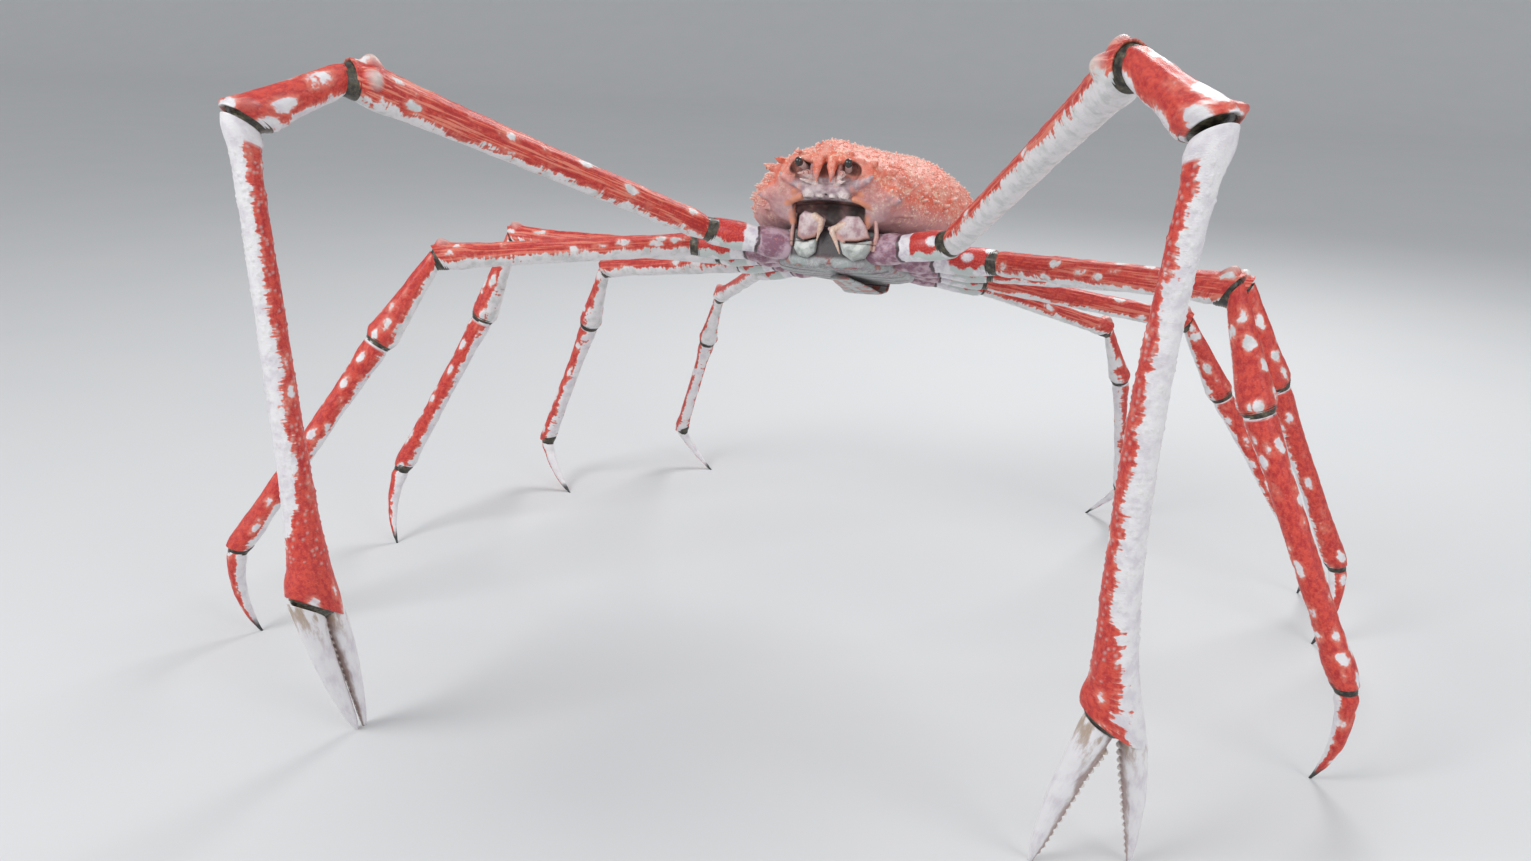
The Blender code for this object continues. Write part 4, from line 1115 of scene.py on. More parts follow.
def make_limb(side, number):
    """A walking leg, whose last segment ends flat on the floor, or an arm with its claw."""
    points, steps = limb_joints(side, number)
    across = limb_across(points)
    base, axis = make_base(side, number, points, steps)
    tubes = [base]
    ways = [axis] + steps
    arm = number == 1
    set_back = CLAW_SET_BACK if arm else SET_BACK
    for i, part in enumerate(("merus", "carpus") if arm else ("merus", "carpus", "propodus", "dactylus")):
        kind = "arm_" + part if arm else part
        near = joint_plane(points[i], ways[i], ways[i + 1], 1, set_back)
        bow = None
        if part == "dactylus":
            far = (Vector((points[4].x, points[4].y, 0)), FLOOR_WAY)
            level = (across - steps[3] * across.dot(steps[3])).normalized()
            bow = steps[3].cross(level) * (-DACTYLUS_BOW * LENGTHS[number][2])
        else:
            far = joint_plane(points[i + 1], ways[i + 1], ways[i + 2], -1, set_back)
        tube = Tube(points[i], points[i + 1], across, PROFILES[kind], bow, THICKNESS[number])
        tubes.append(tube)
        seed = limb_seed(side, 3 + i, 11) if arm else limb_seed(side, number * 7 + i, 31)
        relief = Relief(seed, kind, bump_list(tube, LOBES.get(kind, ())))
        fineness = "arm" if arm else "leg"
        look = fineness + "_" + part
        make_segment(side, number, part, "limb_shell", tube, fineness, near, far, relief, look, seed)
    if arm:
        make_claw(side, points, steps, ways, tubes)
    else:
        add_skins(side, number, tubes, points, ways, 4, LEG_SKIN_SIDES)


def add_skins(side, number, tubes, points, ways, count, sides):
    """The dark skins of a limb's first joints."""
    for i in range(count):
        plane = joint_plane(points[i], ways[i], ways[i + 1], 0)
        joint_skin("%s_%d_skin_%d" % (side, number, i + 1), tubes[i], tubes[i + 1], plane, sides)


def make_claw(side, points, steps, ways, tubes):
    """The palm with its fixed finger, and the moving finger hinged on the palm's slanted end."""
    hand = steps[2]
    spread = Vector(CLAW_SPREAD[side])
    spread = (spread - hand * spread.dot(hand)).normalized()
    slant = math.radians(HINGE_SLANT)
    hinge_way = (hand * math.cos(slant) + spread * math.sin(slant)).normalized()
    to_tip = Vector((spread.x, spread.y, 0)).normalized() * (CLAW_OPENING[side] / 2)
    seed = limb_seed(side, 21, 11)

    palm_tube = Tube(points[2], points[3], spread, PROFILES["palm"], spread * PALM_BOW[side])
    tubes.append(palm_tube)
    wrist = joint_plane(points[2], steps[1], hand, 1, CLAW_SET_BACK)
    end = (points[3] - hinge_way * CLAW_SET_BACK, hinge_way)
    relief = Relief(seed, "palm", bump_list(palm_tube, palm_bumps(seed)))
    palm = shell("palm", palm_tube, "palm", wrist, end, relief, side_look("palm", side), seed)

    tip = points[4] - to_tip
    root = points[3] - spread * THUMB_OFFSET + hand * (THUMB_OFFSET * math.tan(slant) - THUMB_ROOT)
    thumb_tube = Tube(root, tip, spread, PROFILES["thumb"], spread * -FINGER_BOW)
    thumb = finger_shell("thumb", thumb_tube, None, tip, 0, side, seed + 1)
    join_pieces(palm, thumb, side + "_1_propodus_shell")
    settle(palm, "claw_shell", side + "_1_propodus")

    tip = points[4] + to_tip
    root = points[3] + spread * HINGE_OFFSET - hand * (HINGE_OFFSET * math.tan(slant))
    finger_tube = Tube(root, tip, spread, PROFILES["finger"], spread * FINGER_BOW)
    tubes.append(finger_tube)
    hinge = (points[3] + hinge_way * CLAW_SET_BACK, hinge_way)
    name = side + "_1_dactylus"
    finger = finger_shell(name + "_shell", finger_tube, hinge, tip, BITE_ANGLE[side], side, seed + 2)
    settle(finger, "finger_shell", name)
    add_skins(side, 1, tubes, points, ways, 3, ARM_SKIN_SIDES)
    plane = (points[3], hinge_way)
    joint_skin(side + "_1_skin_4", palm_tube, finger_tube, plane, ARM_SKIN_SIDES, HINGE_SKIN_WIDTH)


def palm_bumps(seed):
    """Small blunt bumps in cross rows down the palm."""
    draw = np.random.default_rng(seed)
    places = []
    share = PALM_BUMPS_START
    while share < PALM_BUMPS_END:
        for angle in range(0, 360, PALM_BUMPS_TURN):
            if draw.random() < 0.6:
                place = share + draw.uniform(-0.004, 0.004)
                turn = angle + draw.uniform(-8, 8)
                places.append((place, turn, draw.uniform(0.5, 1.1), draw.uniform(1.8, 2.6)))
        share += draw.uniform(0.009, 0.016)
    return places


def finger_shell(name, tube, near, tip, bite_angle, side, seed):
    """A finger with rounded teeth along its biting edge, its tip flat on the floor."""
    teeth = []
    for i in range(TOOTH_COUNT):
        share = TOOTH_SPAN[0] + TOOTH_SPAN[1] * i / (TOOTH_COUNT - 1)
        size = TOOTH_SHRINK[0] - TOOTH_SHRINK[1] * share
        teeth.append((share, bite_angle, TOOTH_HEIGHT[side] * size, TOOTH_RADIUS * size))
    relief = Relief(seed, "finger", bump_list(tube, teeth))
    obj = shell(name, tube, "finger", near, (tip, FLOOR_WAY), relief, MATERIALS["finger"], seed)
    mesh = obj.data
    lie = np.empty(len(mesh.vertices) * 3, np.float32)
    mesh.attributes["lie"].data.foreach_get("vector", lie)
    lie = lie.reshape(-1, 3)
    turn = math.radians(bite_angle)
    add_attribute(mesh, "bite", (lie[:, 0] * math.cos(turn) + lie[:, 1] * math.sin(turn)) * 0.8)
    return obj


def join_pieces(target, other, name):
    """Joins the other mesh to the target, each with its own material."""
    both = [target, other]
    with bpy.context.temp_override(
        active_object=target, object=target, selected_objects=both, selected_editable_objects=both,
    ):
        bpy.ops.object.join()
    target.name = name


def region_height(side, forward):
    """How far the carapace's regions lift its surface there."""
    total = 0.0
    for x, y, radius, height in CARAPACE_REGIONS:
        total = total + height * np.exp(-((side - x) ** 2 + (forward - y) ** 2) / radius**2)
    return total


def to_world(points):
    """Points of the body's own frame in the crab's place, in millimetres."""
    turn = np.array(BODY.to_3x3())
    return points @ turn.T + np.array(BODY.translation)


def cone_distance(points, start, end, first, last):
    """Distance to a rounded cone from start to end with these two radii."""
    span = np.array(end, float) - start
    share = np.clip((points - start) @ span / max(span @ span, 1e-9), 0, 1)
    off = points - start - share[..., None] * span
    return np.sqrt((off**2).sum(-1)) - (first + (last - first) * share)


def egg_distance(points, centre, radii):
    """Distance to an egg-shaped lump, close enough near its surface."""
    off = (points - centre) / np.array(radii, float)
    reach = np.sqrt((off**2).sum(-1))
    return (reach - 1) * np.sqrt(((points - centre) ** 2).sum(-1)) / np.maximum(reach, 1e-6)


def soft_least(a, b, blend):
    """The lesser of two distances, with the crease between them rounded."""
    mixed = np.clip(0.5 + 0.5 * (b - a) / blend, 0, 1)
    return b * (1 - mixed) + a * mixed - blend * mixed * (1 - mixed)


class Field:
    """A block of space that holds the distance to a form's surface, negative inside."""

    def __init__(self, low, high, step):
        self.low = np.array(low, float)
        self.step = step
        counts = np.ceil((np.array(high) - low) / step).astype(int) + 1
        self.values = np.full(counts, 50.0, np.float32)

    def part(self, low, high):
        """The slices of the block between two corners, and the places of the points there."""
        first = np.clip(np.floor((np.array(low) - self.low) / self.step).astype(int), 0, None)
        last = np.ceil((np.array(high) - self.low) / self.step).astype(int) + 1
        last = np.minimum(last, self.values.shape)
        axes = [self.low[i] + self.step * np.arange(first[i], last[i]) for i in range(3)]
        points = np.stack(np.meshgrid(*axes, indexing="ij"), -1).astype(np.float32)
        return tuple(slice(f, t) for f, t in zip(first, last)), points

    def merge(self, low, high, distance, blend, cut=False):
        where, points = self.part(np.array(low) - blend - 2, np.array(high) + blend + 2)
        own = self.values[where]
        sign = -1 if cut else 1
        self.values[where] = sign * soft_least(sign * own, distance(points), blend)

    def cone(self, start, end, first, last, blend, cut=False):
        start, end = np.array(start), np.array(end)
        big = max(first, last)
        low = np.minimum(start, end) - big
        high = np.maximum(start, end) + big
        self.merge(low, high, lambda points: cone_distance(points, start, end, first, last), blend, cut)

    def chain(self, path, blend, cut=False):
        """Rounded cones through (side, forward, up, radius) points."""
        for first, last in zip(path, path[1:]):
            self.cone(first[:3], last[:3], first[3], last[3], blend, cut)

    def egg(self, centre, radii, blend, cut=False):
        low = np.array(centre) - radii
        high = np.array(centre) + radii
        self.merge(low, high, lambda points: egg_distance(points, centre, radii), blend, cut)

    def surface(self):
        """Points and quads of the surface, one point for each cell that it crosses."""
        values = self.values
        inside = values < 0
        cells = np.array(values.shape) - 1
        corners = list(np.ndindex(2, 2, 2))
        total = np.zeros(cells, np.int8)
        for x, y, z in corners:
            total += inside[x : x + cells[0], y : y + cells[1], z : z + cells[2]]
        crossed = (total > 0) & (total < 8)
        where = np.argwhere(crossed)
        index = np.full(cells, -1, np.int64)
        index[crossed] = np.arange(len(where))
        sums = np.zeros((len(where), 3))
        count = np.zeros(len(where))
        for corner in corners:
            for axis in range(3):
                if corner[axis]:
                    continue
                other = np.array(corner)
                other[axis] = 1
                a = values[tuple((where + corner).T)]
                b = values[tuple((where + other).T)]
                hit = np.flatnonzero((a < 0) != (b < 0))
                share = a[hit] / (a[hit] - b[hit])
                place = np.tile(np.array(corner, float), (len(hit), 1))
                place[:, axis] = share
                sums[hit] += place
                count[hit] += 1
        points = self.low + (where + sums / count[:, None]) * self.step
        quads = []
        for axis in range(3):
            u, v = (axis + 1) % 3, (axis + 2) % 3
            ahead = (np.arange(3) == axis).astype(int)
            low = 1 - ahead
            a = inside[tuple(slice(f, t) for f, t in zip(low, cells))]
            b = inside[tuple(slice(f, t) for f, t in zip(low + ahead, cells + ahead))]
            edges = np.argwhere(a != b) + low
            flip = a[tuple((edges - low).T)]
            around = []
            for du, dv in ((1, 1), (0, 1), (0, 0), (1, 0)):
                cell = edges.copy()
                cell[:, u] -= du
                cell[:, v] -= dv
                around.append(index[tuple(cell.T)])
            quad = np.stack(around, 1)
            quad[~flip] = quad[~flip][:, ::-1]
            quads.append(quad)
        return points, np.concatenate(quads)


def vertex_normals(points, quads):
    a, b, c, d = points[quads.T]
    cross = np.cross(c - a, d - b)
    normals = np.zeros_like(points)
    for corner in range(4):
        np.add.at(normals, quads[:, corner], cross)
    return normals / np.maximum(np.linalg.norm(normals, axis=1, keepdims=True), 1e-9)


def relax(points, quads, rounds=2, share=0.5):
    """Points moved towards the middle of their neighbours, which evens out the steps of the grid."""
    for _ in range(rounds):
        total = np.zeros_like(points)
        count = np.zeros(len(points))
        for corner in range(4):
            for other in (1, 3):
                np.add.at(total, quads[:, corner], points[quads[:, (corner + other) % 4]])
                np.add.at(count, quads[:, corner], 1)
        points = points + (total / count[:, None] - points) * share
    return points


def carapace_distance(points):
    """Distance to the plain shell of the back, near enough, in the body's own frame."""
    x, y, z = points[..., 0], points[..., 1], points[..., 2]
    axis = np.linspace(CARAPACE_REAR, CARAPACE_FRONT, 400)
    rows = read_rows(CARAPACE_ROWS, axis)
    half, middle, top, underside, _ = (np.interp(y, axis, rows[:, i]) for i in range(5))
    lift = region_height(x, y)
    up = z - middle
    above = up > 0
    height = np.where(above, top - middle + lift, middle - underside)
    power = np.where(above, 2.22, 3.2)
    wide = np.where(above, 2.0, 3.2)
    reach = (np.abs(x) / half) ** wide + (np.abs(up) / height) ** power
    reach = np.maximum(reach, 1e-6) ** np.where(above, 0.5, 1 / 3.2)
    around = (1 - 1 / np.maximum(reach, 0.02)) * np.sqrt(x**2 + up**2)
    ends = np.maximum(y - CARAPACE_FRONT, CARAPACE_REAR - y)
    return -soft_least(-around, -ends, 12.0)


def one_side(path, sign):
    """The path, or its mirror image where the sign is negative."""
    return [(sign * point[0], *point[1:]) for point in path]


def mirrored(path):
    """The path and its mirror image."""
    return one_side(path, 1), one_side(path, -1)


def side_field(box, sign, cell):
    """A field in this box, or in its mirror image where the sign is negative."""
    low, high = np.array(box, float)
    if sign < 0:
        low[0], high[0] = -high[0], -low[0]
    return Field(low, high, cell)


def chin_distance(points):
    """How far a point is outside the space cut away under the face, which slopes back."""
    y, z = points[..., 1], points[..., 2]
    slope = CHIN_START[0] + CHIN_SLOPE * (z - CHIN_START[1]) - y
    return np.maximum(slope / math.hypot(1, CHIN_SLOPE), z - CHIN_START[1])


def hollow_distance(points):
    """The hollow under the front edge, between the cheeks."""
    half, back, low, high = FACE_HOLLOW
    x, y, z = points[..., 0], points[..., 1], points[..., 2]
    return np.maximum.reduce([np.abs(x) - half, back - y, low - z, z - high])


def carapace_field():
    """The shell with its face, all blended into one form."""
    field = Field(*CARAPACE_BOX, CARAPACE_CELL)
    where, points = field.part(*CARAPACE_BOX)
    field.values[where] = carapace_distance(points)
    field.chain(*SNOUT)
    field.merge(*CHIN_BOX, chin_distance, 7, cut=True)
    field.merge(*HOLLOW_BOX, hollow_distance, 4, cut=True)
    for centre, radii, blend, _ in FACE_LUMPS:
        for middle in mirrored([centre]):
            field.egg(middle[0], radii, blend)
    field.merge(*MOUTH_BOX, mouth_distance, 3, cut=True)
    centre, radii, blend = EYE_SOCKET
    for middle in mirrored([centre]):
        field.egg(middle[0], radii, blend, cut=True)
    for form, blend, _ in FACE_FORMS:
        for path in mirrored(form):
            field.chain(path, blend)
    field.egg(*HORN_NOTCH, cut=True)
    field.egg(*LIP_NOTCH, cut=True)
    return field


def mouth_distance(points):
    """The mouth's hollow, arched at the top, under the front of the shell."""
    x, y, z = points[..., 0], points[..., 1], points[..., 2]
    top = MOUTH_TOP - 4 * (x / MOUTH_HALF_WIDTH) ** 2
    return np.maximum(np.maximum(np.abs(x) - MOUTH_HALF_WIDTH, z - top), MOUTH_BACK - y)


def scatter(points, chance, spacing, seed):
    """Indices of points picked at random, no two closer than the spacing, by cells of space."""
    draw = np.random.default_rng(seed)
    order = np.flatnonzero(draw.random(len(points)) < chance)
    draw.shuffle(order)
    taken = {}
    picked = []
    for i in order:
        cell = tuple((points[i] // spacing).astype(int))
        near = (taken.get((cell[0] + a, cell[1] + b, cell[2] + c)) for a, b, c in NEIGHBOURS)
        others = (points[other] for other in near if other is not None)
        if all(((place - points[i]) ** 2).sum() >= spacing**2 for place in others):
            taken[cell] = i
            picked.append(i)
    return np.array(picked, int)


NEIGHBOURS = [(a - 1, b - 1, c - 1) for a, b, c in np.ndindex(3, 3, 3)]


def spikes(roots, ways, heights, radii, sides, blunt, seed):
    """Points, faces and tip shares of many tapering spines with flared, sunken roots."""
    draw = np.random.default_rng(seed)
    rows = np.array(SPINE_ROWS)
    dome = np.sqrt(np.clip(1 - np.clip(rows[:, 0], 0, 1) ** 2, 0.02, 1))
    rows[:, 1] = rows[:, 1] * (1 - blunt) + blunt * dome
    turn = 2 * math.pi * np.arange(sides) / sides
    points, faces, tips = [], [], []
    for root, way, height, radius in zip(roots, ways, heights, radii):
        other = np.array((1.0, 0, 0)) if abs(way[0]) < 0.8 else np.array((0, 1.0, 0))
        side = unit(np.cross(way, other))
        back = np.cross(way, side)
        lean = side * draw.uniform(-0.15, 0.15) + back * draw.uniform(-0.15, 0.15)
        first = len(points) * sides
        for share, wide in rows:
            middle = root + way * (height * share) + lean * (height * share * max(share, 0))
            ring = side * np.cos(turn)[:, None] + back * np.sin(turn)[:, None]
            points.append(middle + ring * (radius * wide))
            tips.append(np.full(sides, np.clip(share * 1.3 - 0.15, 0, 1)))
        faces += grid_faces(len(rows), sides, first)
    return np.concatenate(points), faces, np.concatenate(tips)


def edge_share(points):
    """1 along the side edges of the back and 0 elsewhere."""
    rows = read_rows(CARAPACE_ROWS, np.clip(points[:, 1], CARAPACE_REAR, CARAPACE_FRONT))
    wide = np.abs(points[:, 0]) / rows[:, 0]
    level = points[:, 2] - rows[:, 1]
    return smooth_step(0.90, 0.99, wide) * smooth_step(-14, -2, level) * smooth_step(26, 12, level)


def make_carapace():
    points, quads = carapace_field().surface()
    points = relax(points, quads, 2)
    normals = vertex_normals(points, quads)
    points += normals * (0.9 * noise(points, 15.0, 3) + 0.5 * noise(points, 6.0, 4))[:, None]
    face_part = smooth_step(128, 146, points[:, 1]) * smooth_step(32, 24, points[:, 2])
    upper = points[:, 2] > -24 + 10 * (points[:, 1] > 100)
    open_part = (face_part < 0.3) & upper
    chance, spacing = SPINE_SPREAD
    chosen = scatter(points, chance * open_part, spacing, 5)
    edge = edge_share(points[chosen])
    draw = np.random.default_rng(6)
    size = draw.uniform(0.7, 1.3, len(chosen))
    heights = (3.4 + 4.5 * edge) * size
    ways = unit(normals[chosen] + np.array((0, 0.22, 0.12)))
    big = spikes(points[chosen], ways, heights, 2.6 * size**0.5 + 0.7 * edge, *SPINE_SHAPE, 7)
    chance, spacing = GRANULE_SPREAD
    many = scatter(points, chance * open_part, spacing, 8)
    grain = draw.uniform(0.6, 1.3, len(many))
    small = spikes(points[many], normals[many], 1.5 * grain, 1.35 * grain**0.5, *GRANULE_SHAPE, 9)
    carapace_piece("carapace_shell", points, quads.tolist(), np.zeros(len(points)))
    first = len(big[0])
    faces = big[1] + [[first + i for i in face] for face in small[1]]
    roots, tips = (np.concatenate([big[i], small[i]]) for i in (0, 2))
    carapace_piece("carapace_spines", roots, faces, tips)


def carapace_piece(name, points, faces, bump):
    attributes = {"body": points / 10, "bump": bump, **face_tints(points)}
    obj = build_mesh(name, to_world(points), faces, attributes, MATERIALS["carapace"])
    settle(obj, "carapace", "carapace")


def near_path(points, path, reach):
    """1 on the path and 0 beyond this reach from its surface."""
    nearest = np.full(len(points), 1e3)
    for first, last in zip(path, path[1:]):
        found = cone_distance(points, first[:3], last[:3], first[3], last[3])
        nearest = np.minimum(nearest, found)
    return smooth_step(reach, 0.0, nearest)


def egg_near(points, centre, radii, reach):
    """1 in the egg-shaped lump and its mirror image, and 0 beyond this reach from it."""
    folded = np.stack([np.abs(points[:, 0]), points[:, 1], points[:, 2]], 1)
    return smooth_step(reach, -0.3 * reach, egg_distance(folded, centre, radii))


def face_tints(points):
    """Where the face is mauve, cream or orange, and where painted shade darkens its hollows, from the forms
    there.
    """
    tints = {name: np.zeros(len(points)) for name in ("pale", "cream", "orange", "dark", "blush")}
    x, y, z = np.abs(points[:, 0]), points[:, 1], points[:, 2]
    front = smooth_step(100, 116, y)
    chin = CHIN_START[0] + CHIN_SLOPE * (z - CHIN_START[1])
    under = front * smooth_step(5, 1, z) * smooth_step(chin - 7, chin - 3, y)
    tints["pale"] = np.maximum(under * smooth_step(34, 28, x), 0.35 * under)
    # Painted shade: the hollow under the front edge, the mouth, the lip notch and the eye sockets are
    # darkened
    hollow = hollow_distance(points)
    tints["dark"] = 0.8 * smooth_step(2.5, 0.2, hollow) * smooth_step(157, 152, y)
    mouth = smooth_step(2.0, -0.5, mouth_distance(points)) * (y > 100)
    notch = egg_near(points, (0, 152, -18), (3.4, 15, 3.2), 1.2)
    sockets = 0.85 * egg_near(points, *EYE_SOCKET[:2], 1.5)
    tints["dark"] = np.maximum.reduce([tints["dark"], mouth, notch, sockets])
    for path, _, tint in FACE_FORMS:
        if tint in ("", "horn"):
            continue
        near = np.maximum(*(near_path(points, one, 1.6) for one in mirrored(path)))
        if tint == "rim":
            near = near * smooth_step(66, 56, x)
            tint = "orange"
        tints[tint] = np.maximum(tints[tint], near)
        for other in tints.keys() - {tint}:
            tints[other] = tints[other] * (1 - near)
    for centre, radii, _, tint in FACE_LUMPS:
        near = egg_near(points, centre, radii, 2.0)
        if tint == "lobe":
            tints["cream"] = np.maximum(tints["cream"], near * (y > 130) * (z < -9))
        elif tint == "cheek":
            tints["pale"] = np.maximum(tints["pale"], 0.9 * near * smooth_step(-10, -16, z))
            tints["blush"] = near * smooth_step(-12, -2, z) * smooth_step(22, 14, z)
    tints["pale"] = np.maximum(tints["pale"], 0.8 * smooth_step(-44, -49, z) * smooth_step(-120, 0, y))
    horn = FACE_FORMS[0][0]
    near = np.maximum(*(near_path(points, one, 1.2) for one in mirrored(horn)))
    for other in ("dark", "pale"):
        tints[other] = tints[other] * (1 - near)
    return tints


def outline_distance(x, z, corners):
    """Distance to a flat outline, negative inside it."""
    corners = np.array(corners, float)
    nearest = np.full(x.shape, 1e9)
    inside = np.zeros(x.shape, bool)
    for (ax, az), (bx, bz) in zip(corners, np.roll(corners, -1, axis=0)):
        ux, uz = bx - ax, bz - az
        share = np.clip(((x - ax) * ux + (z - az) * uz) / (ux * ux + uz * uz), 0, 1)
        nearest = np.minimum(nearest, (x - ax - share * ux) ** 2 + (z - az - share * uz) ** 2)
        if az != bz:
            crosses = ((az > z) != (bz > z)) & (x < ux * (z - az) / uz + ax)
            inside ^= crosses
    return np.sqrt(nearest) * np.where(inside, -1, 1)


def plate_distance(points, corners, forward, thick, tilt):
    """A pillow-shaped plate across the face with this outline, its middle fuller than its edge."""
    x, y, z = points[..., 0], points[..., 1], points[..., 2]
    middle = np.mean(corners, axis=0)
    flat = outline_distance(x, z, corners)
    crown = 2.2 * smooth_step(0, -14, flat)
    level = forward + tilt * (z - middle[1]) + crown
    slab = np.abs(y - level) - thick
    return -soft_least(-flat - 1.0, -slab, 3.0)


def field_piece(name, field, rounds, tints, material, slot, node):
    """The field's surface as a piece of the crab."""
    points, quads = field.surface()
    points = relax(points, quads, rounds)
    attributes = {"body": points / 10, **tints(points)}
    obj = build_mesh(name, to_world(points), quads.tolist(), attributes, MATERIALS[material])
    return settle(obj, slot, node)


def make_eye(side):
    sign = side_sign(side)
    centre = np.array(EYE_BALL) * (sign, 1, 1)
    field = side_field(EYE_BOX, sign, EYE_CELL)
    field.chain(one_side(EYE_STALK, sign), 1.0)
    field.egg(centre, EYE_RADII, 0.8)

    def tints(points):
        ball = egg_distance(points, centre, EYE_RADII)
        return {"pale": smooth_step(0.25, 0.9, ball)}

    field_piece("eye_%s_ball" % side, field, 2, tints, "eye", "eye", "eye_" + side)


def make_antenna(side):
    sign = side_sign(side)
    field = side_field(ANTENNA_BOX, sign, ANTENNA_CELL)
    path = one_side(ANTENNA_PATH, sign)
    field.chain(path, 0.6)
    for x, y, z, r in path[1::2]:
        field.egg((x, y, z), (r * 1.18, r * 0.8, r * 1.18), 0.4)

    def tints(points):
        joints = np.zeros(len(points))
        for _, y, _, _ in path[2::2]:
            joints = np.maximum(joints, smooth_step(1.1, 0.3, np.abs(points[:, 1] - y)))
        plain = {name: np.zeros(len(points)) for name in ("pale", "orange", "bump")}
        return {**plain, "dark": 0.5 * joints, "cream": 0.7 * (1 - joints)}

    field_piece("antenna_%s_feeler" % side, field, 1, tints, "carapace", "carapace", "antenna_" + side)


def make_mouthparts(side):
    """The plates, the side piece and the bent palp of one outer mouthpart."""
    field = Field(*MOUTHPART_BOXES[side], MOUTH_CELL)
    for corners, forward, thick, tilt in MOUTH_PLATES[side]:
        edge = np.array(corners)
        field.merge(
            (edge[:, 0].min() - 2, forward - thick - 6, edge[:, 1].min() - 2),
            (edge[:, 0].max() + 2, forward + thick + 8, edge[:, 1].max() + 2),
            lambda points: plate_distance(points, corners, forward, thick, tilt),
            0.6,
        )
    palp = MOUTH_PALPS[side]
    field.chain(palp, 0.8)
    inner = sorted(MOUTH_PLATES[side][0][0], key=lambda corner: abs(corner[0]))
    field.cone((inner[0][0], 120, inner[0][1]), (inner[1][0], 121, inner[1][1]), 2.6, 2.6, 1.5)

    def tints(points):
        x, z = points[:, 0], points[:, 2]
        upper, lower, outer = (outline_distance(x, z, plate[0]) for plate in MOUTH_PLATES[side])
        arm = near_path(points, palp, 0.8)
        edge = smooth_step(-6, -1, upper) * smooth_step(3, 0, upper) * smooth_step(-42, -62, z)
        # Painted shade: darker where the plates lie further back, and along the seam between the upper and
        # the lower plate
        back = smooth_step(116, 111, points[:, 1])
        return {
            "pale": smooth_step(1, -1, lower),
            "cream": arm,
            "orange": np.maximum(0.75 * edge, 0.7 * smooth_step(1, -1, outer)) * (1 - arm),
            "dark": np.maximum(back, smooth_step(1.5, 0, np.abs(z + 69.5)) * smooth_step(20, 24, np.abs(x))),
        }

    name = "maxilliped_" + side
    field_piece(name + "_plates", field, 1, tints, "mouthparts", "mouthparts", name)


def make_sternum():
    """The breastplate: a pad with grooves between the limbs' segments and a furrow in the middle."""
    half = list(STERNUM_CORNERS)
    outline = half + [(0, STERNUM_REAR)] + [(-x, y) for x, y in half[::-1]]
    field = Field(*STERNUM_BOX, STERNUM_CELL)
    grooves = []
    for corner in STERNUM_CORNERS[1:5]:
        for sign in (1, -1):
            rise = STERNUM_RISE * float(smooth_step(70, -100, np.array(corner[1])))
            inner = (sign * 14, corner[1] * 0.8 - 6, -99.0 + rise)
            grooves.append((inner, (sign * corner[0], corner[1], -98.0 + rise)))

    def pad(points):
        x, y, z = points[..., 0], points[..., 1], points[..., 2]
        flat = outline_distance(x, y, outline)
        level = PAD_FACE + PAD_EDGE_RISE * smooth_step(-PAD_EDGE_WIDTH, 0, flat)
        level = level + STERNUM_RISE * smooth_step(70, -100, y)
        return -soft_least(-flat, -np.maximum(level - z, z - PAD_TOP), PAD_ROUNDING)

    field.merge(*PAD_BOX, pad, 0.5)
    for start, end in grooves:
        field.cone(start, end, 1.0, 2.6, 2.5, cut=True)
    field.cone((0, 100, -99), (0, 40, -98), 2.2, 1.6, 3, cut=True)
    for sign in (1, -1):
        field.cone((sign * 12, 108, -96), (sign * 40, 104, -94), 3.5, 5.0, 4)

    def tints(points):
        # Painted shade: the grooves and the front of the pad, under the mouthparts, are darkened
        near = np.zeros(len(points))
        for start, end in grooves:
            found = cone_distance(points, start, end, 1.6, 3.4)
            near = np.maximum(near, smooth_step(2.6, 0.4, found))
        front = smooth_step(106, 110, points[:, 1]) * smooth_step(-90, -84, points[:, 2])
        side = smooth_step(-7, 0, outline_distance(points[:, 0], points[:, 1], outline))
        weave = noise(points, 8.0, 5) > 0.35
        red = 0.6 * side * weave * smooth_step(-80, -92, points[:, 2])
        return {"pale": 0.5 * side * ~weave, "orange": red, "dark": np.maximum(0.7 * near, 0.93 * front)}

    field_piece("sternum_plate", field, 2, tints, "underside", "underside", "sternum")


